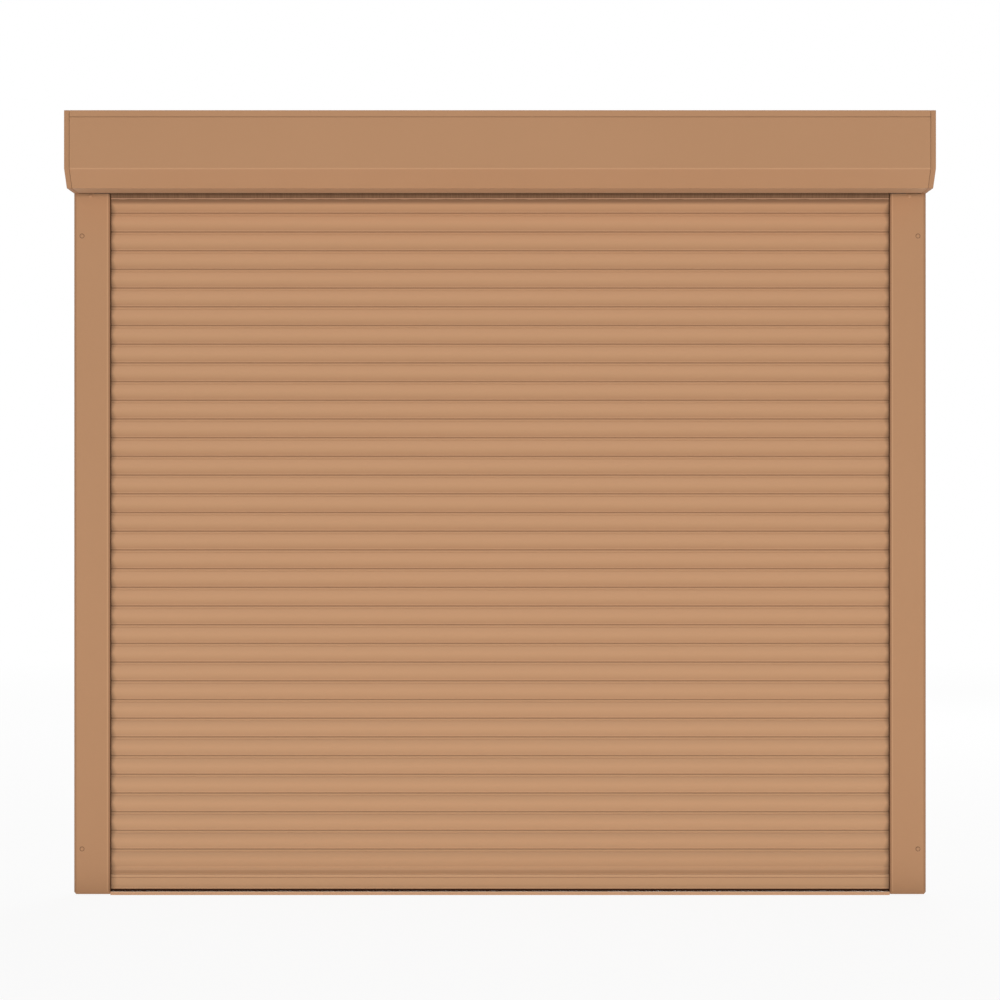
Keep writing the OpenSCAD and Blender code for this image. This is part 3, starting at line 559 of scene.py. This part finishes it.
def box_outline(inset, radius):
    """The headbox seen from its end, taken in all round, with its corners rounded."""
    bevel = chamfer + inset * (math.sqrt(2) - 1)
    corners = [(-inset, box_z + inset), (-inset, box_top - inset), (-box_d + inset, box_top - inset),
               (-box_d + inset, box_z + bevel), (-box_d + bevel, box_z + inset)]
    return rounded([(y, z, radius) for y, z in corners], 8)


cap_rim = draw_out("cap_right", box_outline(0, 2.5 * mm), "X", rim_in, half_w)
cut_away(cap_rim, draw_out("recess", box_outline(3 * mm, 1.5 * mm), "X", tool_in, half_w + 10 * mm))
soften(cap_rim, 0.8 * mm)
cap_wall = draw_out("cap_wall", box_outline(1.5 * mm, 1.5 * mm), "X", wall_in, wall_out)
soften(cap_wall, 0.4 * mm)
left_wall = other_hand(cap_wall, "left_wall")
# The hole for the cable's grommet is in the right wall alone.
cut_away(cap_wall, round_bar(cable_r, (wall_middle, -cable_in, box_top - cable_in), sideways, drill))
soften(cap_wall)
ledge = draw_out("cap_ledge", box_outline(1.5 * mm, 1.5 * mm), "X", ledge_in, wall_middle)
cut_away(ledge, draw_out("ledge_hollow", box_outline(4 * mm, 0.5 * mm), "X", tool_in, half_w),
         block("curtain_slot", (tool_in, slot_y - 1.5 * mm, box_z - 1 * mm), (half_w, -1.5 * mm, box_z + 6 * mm)),
         block("hook_room", (tool_in, -box_d - 1 * mm, hinge_z - hook_room),
               (half_w, -box_d + hook_room, hinge_z + hook_room)))
tongue = block("cap_tongue", (*plug_low, box_z - tongue_long), (*plug_high, box_z + 0.1 * mm))
cut_away(tongue, round_bar(screw_hole, (screw_x, front, screw_z), flat, 23 * mm))
shelf = block("cap_shelf", (*plug_low, box_z), (half_w - 5.5 * mm, plug_high.y, box_z + shelf_high))
for part in (ledge, tongue, shelf):
    soften(part, 0.4 * mm)
# On the left a boss holds the bearing of the shaft, and on the right a pad carries the motor's bracket.
boss = round_bar(boss_r, (-half_w + 13.25 * mm, shaft_y, shaft_z), sideways, 17.5 * mm, 64)
cut_away(boss, round_bar(bush_r, (-half_w + 16 * mm, shaft_y, shaft_z), sideways, 20 * mm))
pad = block("cap_pad", (half_w - 10 * mm, shaft_y - pad_half, shaft_z - pad_half),
            (wall_middle, shaft_y + pad_half, shaft_z + pad_half))
for part in (boss, pad):
    soften(part, 0.5 * mm)
cast_coat = powder_coat("powder_coated_casting", "#AC8261", "#B08665")
# The ledge, which shows through the seams round the covers, takes the painted shade.
for part in (cap_rim, cap_wall, left_wall, ledge, tongue, shelf, boss, pad):
    part.data.materials.append(seam_shade if part is ledge else cast_coat)
right_cap = joined(cap_rim, ledge, tongue, shelf)
left_cap = joined(other_hand(right_cap, "cap_left"), left_wall, boss)
joined(right_cap, cap_wall, pad)
for cap, node in ((right_cap, "end_cap_right"), (left_cap, "end_cap_left")):
    fit(cap, "frame", "frame_paint", cast_coat, node)


# Guide inlets
# Black moulded funnels, one on the top of each rail, inside the headbox. They lead the curtain from the
# shaft into the channels.

# Polyamide, moulded black: matt, with the fine grain of an eroded mould, drawn at 1.5 mm so that it shows.
black_nylon = mottled("moulded_black_polyamide", 1.5 * mm, 3, "#353330", "#403D3A", {"IOR": 1.53},
                      (0.5, 0.65), (0.25, 0.1 * mm))
dress("guide_inlets", black_nylon)


# Rear and top cover
# One sheet of powder-coated aluminium, 1.2 mm thick, folded from the wall side over the top to the front
# lip. A hooked strip behind the lip carries the bead of the front cover.
sheet = 1.2 * mm
cover_low, cover_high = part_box("top_rear_cover")
lip_z = box_top - 15.5 * mm
back_top = draw_out("cover_back_top", rounded([
    (0, box_z, 0), (0, box_top, 2.2 * mm), (-box_d, box_top, 2.2 * mm), (-box_d, lip_z, 0.3 * mm),
    (-box_d + sheet, lip_z, 0.3 * mm), (-box_d + sheet, box_top - sheet, 1 * mm), (-sheet, box_top - sheet, 1 * mm),
    (-sheet, box_z, 0)
]), "X", cover_low.x, cover_high.x)
hook_root, hook_tip, hook_back = -box_d + sheet / 2, -box_d + sheet + 0.6 * mm, -box_d + 4.8 * mm
hook_top, hook_low = hinge_z + 3.3 * mm, hinge_z - 3 * mm
hook = draw_out("cover_hook", rounded([
    (hook_root, hook_top, 0), (hook_back, hook_top, 0.5 * mm), (hook_back, hook_low + sheet, 0.5 * mm),
    (hook_tip, hook_low + sheet, 0), (hook_tip, hook_low, 0), (hook_back + sheet, hook_low, 1 * mm),
    (hook_back + sheet, hook_top + sheet, 1 * mm), (hook_root, hook_top + sheet, 0)
]), "X", cover_low.x, cover_high.x)
for part in (back_top, hook):
    soften(part)
joined(back_top, hook)
fit(back_top, "frame", "frame_paint", powder_coat("powder_coated_sheet"), "top_rear_cover")


# Front inspection cover
# A second folded sheet: the front, the chamfer and the underside, up to the slot for the curtain. It hangs
# by the rolled bead along its upper edge, and swings out to reach the shaft.
fold_z, inner_bevel = box_z + chamfer, chamfer + sheet * (math.sqrt(2) - 1)
front_sheet = draw_out("cover_front", rounded([
    (-box_d, hinge_z, 0), (-box_d, fold_z, 3 * mm), (-box_d + chamfer, box_z, 3 * mm), (slot_y, box_z, 0.4 * mm),
    (slot_y, box_z + sheet, 0), (-box_d + inner_bevel, box_z + sheet, 1.8 * mm),
    (-box_d + sheet, box_z + inner_bevel, 1.8 * mm), (-box_d + sheet, hinge_z, 0)
]), "X", cover_low.x, cover_high.x)
roll_r = 1.5 * mm
bead_turns = [math.tau * (k + 0.5) / 20 for k in range(20)]
bead = draw_out("cover_bead", [(-box_d + roll_r * (1 + math.cos(t)), hinge_z + roll_r * math.sin(t))
                               for t in bead_turns], "X", cover_low.x, cover_high.x)
slot_edge = block("cover_slot_edge", (-half_w + 25 * mm, slot_y - sheet, box_z + sheet / 2),
                  (half_w - 25 * mm, slot_y, box_z + 10 * mm))
for part in (front_sheet, bead, slot_edge):
    soften(part)
joined(front_sheet, bead, slot_edge)
# The same powder coat, with a painted highlight along the outside of the upper fold, and a paler copy of it
# on the underside: painted light on the faces that look down.
folded_coat = powder_coat("powder_coated_folded_sheet", marks=(("Z", fold_z, 2.4 * mm, "#BF9370"),))
underside_lit_coat = powder_coat("powder_coated_underside", "#BD997A", "#C19D7E")
front_sheet.data.materials.append(folded_coat)
front_sheet.data.materials.append(underside_lit_coat)
# The faces that look down take the paler copy: painted light on the underside.
for face in front_sheet.data.polygons:
    if face.normal.z < -0.9:
        face.material_index = 1
fit(front_sheet, "front_cover", "frame_paint", folded_coat, "inspection_cover")


# Slot brush
# A strip of nylon bristles, held by the front cover behind the edge of the curtain slot. It slants to the
# slats, sweeps them as they run in, and keeps leaves and wasps out of the headbox. Its tips are uneven.

# Nylon bristles, 0.2 mm thick and drawn 2 mm apart so that they show: dull brown, with painted shade at the
# root, under the edge of the cover, and a painted highlight on the tips.
bristles, tree, place = open_finish("nylon_bristles")
strands = lines_along(tree, place, (1 / (2 * mm), 1 / (60 * mm), 1 / (60 * mm)))
tone = add_node(tree, "Mix", colour_mix, {0: strands, 6: "#5A4130", 7: "#8A6A50"})
spot = add_node(tree, "SeparateXYZ", {}, {"Vector": place})
# The painted highlight on the tips and the painted shade at the roots: from and to, in mm under the headbox,
# the share at either, and the tone.
for low, high, low_share, high_share, colour in (
        (11.8, 9.8, 0.9, 0.0, "#BA9174"), (5.2, 3.4, 0.0, 0.38, "#33231A")):
    share = add_node(tree, "MapRange", soft_step,
                     {"Value": spot.outputs["Z"], "From Min": box_z - low * mm, "From Max": box_z - high * mm,
                      "To Min": low_share, "To Max": high_share})
    tone = add_node(tree, "Mix", colour_mix, {0: share, 6: tone, 7: colour})
close_finish(tree, tone, strands, {"Roughness": 0.7, "IOR": 1.53, "Specular Tint": warm_gloss},
             bump=(0.5, 0.2 * mm))
brush_half, brush_thick, lean, tufts = inner - 2 * mm, 2 * mm, math.radians(41), 130
tips = [(-brush_half + 2 * brush_half * k / tufts, (-28.1 + 0.5 * math.sin(2.4 * k) + 0.4 * math.sin(5.1 * k)) * mm)
        for k in range(tufts + 1)]
brush = draw_out("slot_brush", tips + [(brush_half, 0), (-brush_half, 0)], "Y",
                 -brush_thick / 2, brush_thick / 2)
brush.rotation_euler = (lean, 0, 0)
brush.location = (0, slot_y + 1.2 * mm, box_z + 9 * mm)
bpy.ops.object.transform_apply(location=True, rotation=True)
soften(brush)
fit(brush, "front_cover", "dark_plastic", bristles)


# Fixing screws
# Zinc-plated pan head screws: two hold the tongues of the end caps in the rails, with their heads coated
# to match, and four hold the motor bracket. The heads are cold formed, with a straight slot.
head_r, head_rim, bracket_x, bracket_half = 4.2 * mm, 1.2 * mm, half_w - 15 * mm, 29 * mm
screw = headed_pin("screw_rail_right",
                   round_bar(head_r, (screw_x, front - head_rim / 2, screw_z), flat, head_rim, 32),
                   ((0.4, 0.7), (0.7, 0.4), (1.2, 0.1)), 1.7, 9.5, (1.2, 1))
cut_away(screw, block("slot", (screw_x - 5 * mm, front - 3 * mm, screw_z - 0.5 * mm),
                      (screw_x + 5 * mm, front - 1.25 * mm, screw_z + 0.5 * mm)))
soften(screw)
screws = [screw, other_hand(screw, "screw_rail_left")]
for i, (y, z) in enumerate(((-1, -1), (1, -1), (-1, 1), (1, 1))):
    copy = copy_of(screw, f"screw_bracket_{i + 1}", (-screw_x, -front, -screw_z))
    copy.rotation_euler = (0, 0, math.radians(-90))
    copy.location = (bracket_x, shaft_y + y * bracket_half, shaft_z + z * bracket_half)
    bpy.ops.object.transform_apply(location=True, rotation=True)
    screws.append(copy)
# Zinc plate: a pale, slightly blue metal with a soft satin, mottled by the plating bath at about 4 mm.
# The coat on the heads in view is rubbed pale by the screwdriver.
zinc = mottled("zinc_plated_steel", 4 * mm, 2, "#B9BCC0", "#CBCDD0", {"Metallic": 1.0}, (0.3, 0.42))
rubbed_coat = powder_coat("powder_coated_screw_head", "#C09572", "#C49976")
for copy in screws:
    fit(copy, "frame", "zinc_steel", rubbed_coat if "rail" in copy.name else zinc, "fixing_screws")


# Cable grommet
# A soft rubber ring, moulded and pressed into the hole of the right end cap, where the motor's lead leaves
# the headbox. It keeps the lead off the edge of the hole.
dress("cable_grommet", rubber)


# Shaft
# An octagonal tube, roll formed from galvanised steel strip. A black plug in its left end turns on a pin in
# a plain bearing, and the motor fills its right end.

# Hot-dip galvanised strip: pale grey metal with the flat crystals of the zinc, about 9 mm across.
galvanised, tree, place = open_finish("galvanised_steel_strip")
crystals = add_node(tree, "TexVoronoi", {}, {"Vector": place, "Scale": 1 / (9 * mm)})
tone = add_node(tree, "Mix", colour_mix, {0: crystals, 6: "#A4A7A9", 7: "#B6B8BA"})
close_finish(tree, tone, crystals, {"Metallic": 1.0}, (0.35, 0.5))
# Acetal, moulded natural: off-white and slippery, with a waxy gloss and a faint cloudiness of about 12 mm.
acetal = mottled("natural_acetal", 12 * mm, 2, "#D5D5D0", "#DEDEDA", {"IOR": 1.48}, (0.3, 0.42))
dress("shaft_tube", galvanised)
dress("idler_plug", black_nylon)
dress("bearing_bush", acetal)


# Motor
# A tubular motor inside the right end of the shaft. A steel bracket on the end cap holds its stud, a
# crown carries the tube on it, and a wheel on its far end turns the tube.

# Painted steel tube: pale grey, half gloss, with the faint ripple of a sprayed coat, 4 mm from crest to crest.
motor_grey = mottled("pale_painted_steel", 4 * mm, 1, "#D4D4D0", "#DCDCD8", {"IOR": 1.5},
                     (0.3, 0.4), (0.1, 0.05 * mm))
dress("motor", motor_grey)
dress("motor_bracket", galvanised)
dress("motor_crown", black_nylon)
dress("drive_wheel", black_nylon)


# Hanger straps
# Four straps of spring steel, cut from strip and bent. Each lies along a flat of the tube and hooks round the
# bead of the top slat.

# Blued spring steel: dark, slightly blue metal with fine rolling lines along the strap, drawn 1 mm apart.
spring_steel, tree, place = open_finish("blued_spring_steel")
lines = lines_along(tree, place, (1 / (1 * mm), 8.0, 8.0))
tone = add_node(tree, "Mix", colour_mix, {0: lines, 6: "#8A8F96", 7: "#A2A5A9"})
close_finish(tree, tone, lines, {"Metallic": 1.0}, (0.3, 0.45))
dress("hanger_straps", spring_steel)


# Curtain slats
# Hollow slats, roll formed from lacquered aluminium strip and filled with foam. Each has a bowed front with
# a fine groove near its top, and hangs by its hook in the pocket of the slat above. Every second slat has
# black clips on its ends, which keep it from sliding sideways.
slat_count, pitch, thick, gap, wall = 36, 45.25 * mm, 9 * mm, 3.5 * mm, 1 * mm
body_h, bow, hollow = pitch - gap, 3 * mm, 2 * mm
bow_r, hollow_r = ((body_h ** 2 / 4 + depth ** 2) / (2 * depth) for depth in (bow, hollow))
lip, web, bead_r, play = 1.2 * mm, 1.2 * mm, 1.5 * mm, 0.3 * mm
bead_z = lip + play + bead_r
pocket_top = bead_z + bead_r + play + gap


def front_y(z, inset=0.0):
    """Where the bowed front of a slat is at a height, or a surface that far inside it."""
    return -thick + bow_r - math.sqrt((bow_r - inset) ** 2 - (z - body_h / 2) ** 2)


def back_y(z, inset=0.0):
    """Where the hollow back of a slat is at a height, or a surface that far inside it."""
    return -hollow + hollow_r - math.sqrt((hollow_r + inset) ** 2 - (z - body_h / 2) ** 2)


def run(low, high, steps):
    """Even steps from one value to another."""
    return [low + (high - low) * k / steps for k in range(steps + 1)]


bead_y = (front_y(bead_z) + back_y(bead_z)) / 2
slot_half = web / 2 + play


def hook_points(root):
    """The web and the bead that a slat or the bar hangs by, from its front foot to its back foot."""
    start = math.asin(web / 2 / bead_r)
    turns = run(-math.pi / 2 - start, -2.5 * math.pi + start, 14)
    bead = [(bead_y + bead_r * math.cos(t), root + gap + bead_z + bead_r * math.sin(t), 0) for t in turns]
    return [(bead_y - web / 2, root, 0)] + bead + [(bead_y + web / 2, root, 0)]


groove_z, groove_r, groove_half, groove_off = body_h - 4.5 * mm, 1 * mm, 1.1 * mm, 0.3 * mm
groove_y = front_y(groove_z) - groove_off
edge_r = 0.3 * mm
groove_turns = run(math.radians(-72), math.radians(72), 6)
section = [(front_y(0), 0, edge_r)]
section += [(front_y(z), z, 0) for z in run(1.2 * mm, groove_z - groove_half, 26)]
section += [(groove_y + groove_r * math.cos(t), groove_z + groove_r * math.sin(t), 0) for t in groove_turns]
section += [(front_y(z), z, 0) for z in run(groove_z + groove_half, body_h - 0.9 * mm, 3)]
section += [(front_y(body_h), body_h, edge_r)]
section += hook_points(body_h)
section += [(back_y(z), z, 0) for z in run(body_h, 0, 14)]
section += [(bead_y + slot_half, 0, 0), (bead_y + slot_half, lip, 0)]
section += [(back_y(z, wall), z, 0) for z in run(lip, pocket_top, 4)]
section += [(front_y(z, wall), z, 0) for z in run(pocket_top, lip, 4)]
section += [(bead_y - slot_half, lip, 0), (bead_y - slot_half, 0, 0)]
low_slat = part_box("slat_02")
slat_half = low_slat[1].x
curtain_back = channel_y + thick / 2
first_z = low_slat[0].z - pitch
outline = [(curtain_back + p.x, first_z + p.y) for p in rounded(section, 3)]
slat = draw_out("curtain_slat_01", outline, "X", -slat_half, slat_half)
soften(slat)
clip_in, clip_out = slat_half + 0.15 * mm, slat_half + 2.15 * mm
clip_low, clip_high = lip, body_h - lip
section = [(front_y(z, wall / 2), z) for z in run(clip_low, clip_high, 16)]
section += [(back_y(z, wall / 2), z) for z in run(clip_high, clip_low, 10)]
outline = [(curtain_back + y, first_z + z) for y, z in section]
clip = draw_out("slat_clip_right_01", outline, "X", clip_in, clip_out)
soften(clip, 0.2 * mm)
clips = [clip, other_hand(clip, "slat_clip_left_01")]

# The tone of the painted shade in the joints, under the brush and beside the rails.
painted_shade_tone = "#5C4433"


def shade_beside_rails(tree, spot, start, most):
    """The share of painted shade beside the rails, from where it starts to their inner edges."""
    side = add_node(tree, "Math", {"operation": "ABSOLUTE"}, {0: spot.outputs["X"]})
    return add_node(tree, "MapRange", soft_step,
                    {"Value": side, "From Min": start, "From Max": inner, "To Max": most})


# The same lacquer on the slats, with painted light and shade by the height on each: a painted highlight along the
# crown and thin ones along both edges, painted shade towards the lower edge, and painted shade in the joints, under
# the brush and beside the rails, there most of all at the joints. Lower down the slats are painted paler on their
# lower halves and darker on their upper ones, as painted light from below. The tones follow the height on each
# slat,
# in mm: first on most slats, then on the lowest ones.
slat_lacquer, tree, place = open_finish("lacquered_slat_strip")
spot = add_node(tree, "SeparateXYZ", {}, {"Vector": place})
height = add_node(tree, "Math", {"operation": "SUBTRACT"}, {0: spot.outputs["Z"], 1: first_z - 0.5 * mm})
for operation in ("FLOORED_MODULO", "DIVIDE"):
    height = add_node(tree, "Math", {"operation": operation}, {0: height, 1: pitch})
# Painted highlights on the crown and the edges, painted shade low on each slat and dark in the joint.
stops = ((0, "#BC916F", "#C49976"), (1.5, "#BC916F", "#C49976"), (2.4, "#AE8564", "#BB9271"),
         (5, "#B08665", "#BB9270"), (9, "#B58B69", "#BE9572"), (13, "#B98F6C", "#C19774"),
         (18, "#BE9370", "#C49976"), (24, "#C19572", "#C19774"), (29, "#C19572", "#BD9472"),
         (33, "#C19572", "#BA9270"), (36.5, "#BE9370", "#B79070"), (38.5, "#BF9471", "#BE9573"),
         (41, "#C29673", "#C49A76"), (41.8, "#C39774", "#C59A77"), (42.3, "#A27B5D", "#A88465"),
         (45.2, "#A27B5D", "#A88465"))
most, lowest = (add_node(tree, "ValToRGB", {}, {0: height}, [(up * mm / pitch, pair[k]) for up, *pair in stops])
                for k in (0, 1))
# Lower down, the slats blend to the second tones: painted light from below.
down = add_node(tree, "MapRange", {}, {"Value": spot.outputs["Z"], "From Min": -60 * mm, "From Max": -700 * mm})
tones = add_node(tree, "Mix", colour_mix, {0: down, 6: most, 7: lowest})
crown_height = 0.473
off_crown = add_node(tree, "Math", {"operation": "SUBTRACT"}, {0: height, 1: crown_height})
off_crown = add_node(tree, "Math", {"operation": "ABSOLUTE"}, {0: off_crown})
reach = add_node(tree, "MapRange", {}, {"Value": off_crown, "From Max": 0.5,
                                        "To Min": inner - 9.5 * mm, "To Max": inner - 18.5 * mm})
# Painted shadow on the top slat, under the brush.
under = add_node(tree, "MapRange", soft_step, {"Value": spot.outputs["Z"], "From Min": box_z - 28 * mm,
                                               "From Max": box_z - 17 * mm, "To Max": 0.66})
painted_shade = add_node(tree, "Math", {"operation": "MAXIMUM"}, {0: shade_beside_rails(tree, spot, reach, 0.57), 1: under})
lacquer_over(tree, place, add_node(tree, "Mix", colour_mix, {0: painted_shade, 6: tones, 7: painted_shade_tone}))

curtain = []
for i in range(1, slat_count + 1):
    for master in [slat] + (clips if i % 2 else []):
        name, rise = master.name[:-2] + f"{i:02d}", (0, 0, (i - 1) * pitch)
        curtain.append((copy_of(master, name, rise) if i > 1 else master, f"slat_{i:02d}"))
for piece, node in curtain:
    if "clip" in piece.name:
        fit(piece, node, "dark_plastic", black_nylon, node)
    else:
        fit(piece, node, "slat_paint", slat_lacquer, node)


# Bottom bar
# An extruded aluminium bar, lacquered like the slats, that hangs in the lowest slat and weighs the curtain
# down. It has a recessed band above a thick foot, a fine groove across its front, and a black glide on each end.
bar_z = first_z - 52.75 * mm
# Its profile in mm from its back foot, with the radius at each corner.
bar_h, foot_h = 49.25, 34.9
shoulder = [(-9, foot_h, 1.5), (-5, foot_h, 0.4), (-5, bar_h, 0.5)]
bar_back = [(0, bar_h, 0.5), (0, 0, 0.5)]
bar_front = [(-9, 0, 0.5), (-8.4, 4.8, 4), (-9, 9.6, 4), (-9, 27, 0), (-8.1, 27, 0), (-8.1, 27.9, 0), (-9, 27.9, 0)]
seal_groove = [(-3.05, 0, 0), (-3.05, 2.35, 0), (-1.95, 2.35, 0), (-1.95, 5.05, 0),
               (-7.05, 5.05, 0), (-7.05, 2.35, 0), (-5.95, 2.35, 0), (-5.95, 0, 0)]


def on_bar(profile):
    """A profile in mm at its place on the bar."""
    return [(curtain_back + y * mm, bar_z + z * mm, r * mm) for y, z, r in profile]


bar_hook = [(curtain_back + y, bar_z + z, r) for y, z, r in hook_points(bar_h * mm)]
outline = rounded(on_bar(bar_front + shoulder) + bar_hook + on_bar(bar_back + seal_groove), 4)
bar = draw_out("curtain_bar", outline, "X", -slat_half, slat_half)
soften(bar)
# The same lacquer on the bar, with painted light and shade by the height in mm: painted shade along its lower edge,
# over the shallow hollow near its bottom, in its groove and over its recessed band, painted highlights above the
# groove and along the top of its foot, and painted shade beside the rails.
bar_lacquer, tree, place = open_finish("lacquered_extruded_bar")
spot = add_node(tree, "SeparateXYZ", {}, {"Vector": place})
ramp_h = 60
height = add_node(tree, "MapRange", {}, {"Value": spot.outputs["Z"], "From Min": bar_z,
                                         "From Max": bar_z + ramp_h * mm})
stops = ((0, "#8A6549"), (0.5, "#8A6549"), (1, "#C79D79"), (2.5, "#C79D79"), (4.5, "#BD9572"), (7, "#BE9673"),
         (9.5, "#C29976"), (12, "#C79D79"), (26.7, "#C79D79"), (26.9, "#A57D5E"), (28.0, "#A57D5E"),
         (28.2, "#CAA07C"), (32.5, "#C79D79"), (33.4, "#D2A884"), (34.6, "#D2A884"), (35.4, "#BC926F"),
         (39, "#AB8464"), (43, "#AF8767"), (45.7, "#B99170"), (48, "#C49B78"), (49.3, "#C49B78"))
tones = add_node(tree, "ValToRGB", {}, {0: height}, [(up / ramp_h, colour) for up, colour in stops])
# Painted shade beside the rails.
beside = shade_beside_rails(tree, spot, inner - 17 * mm, 0.5)
lacquer_over(tree, place, add_node(tree, "Mix", colour_mix, {0: beside, 6: tones, 7: painted_shade_tone}))
fit(bar, "curtain_foot", "frame_paint", bar_lacquer, "bottom_bar")
outline = rounded(on_bar([(-9, 0, 0.5)] + shoulder + bar_back), 4)
glide = draw_out("bar_glide_right", outline, "X", clip_in, clip_out)
soften(glide, 0.2 * mm)
for piece in (glide, other_hand(glide, "bar_glide_left")):
    fit(piece, "curtain_foot", "dark_plastic", black_nylon, "bottom_bar")


# Bottom seal
# A rubber profile pushed into the groove under the bar. Its round belly closes on the sill strip and takes
# up the unevenness of the sill.
seal_low, seal_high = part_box("bottom_seal")
belly_r, belly_y, belly_z = 3, -4.5, -3
belly = [(belly_y + belly_r * math.cos(t), belly_z + belly_r * math.sin(t), 0)
         for t in run(math.radians(-14), math.radians(-166), 14)]
profile = [(-0.5, -0.15, 0.3), (-0.5, -3, 0.5)] + belly + [(-8.5, -3, 0.5), (-8.5, -0.15, 0.3)]
profile += [(-5.8, -0.15, 0), (-5.8, 2.5, 0), (-6.9, 2.5, 0.3), (-6.9, 4.9, 0.3),
            (-2.1, 4.9, 0.3), (-2.1, 2.5, 0.3), (-3.2, 2.5, 0), (-3.2, -0.15, 0)]
seal = draw_out("bar_seal", rounded(on_bar(profile), 3), "X", seal_low.x, seal_high.x)
soften(seal)
fit(seal, "curtain_foot", "black_rubber", rubber, "bottom_seal")


# Sizes of the dressed model; those of the CAD model were taken at the start
low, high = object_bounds()
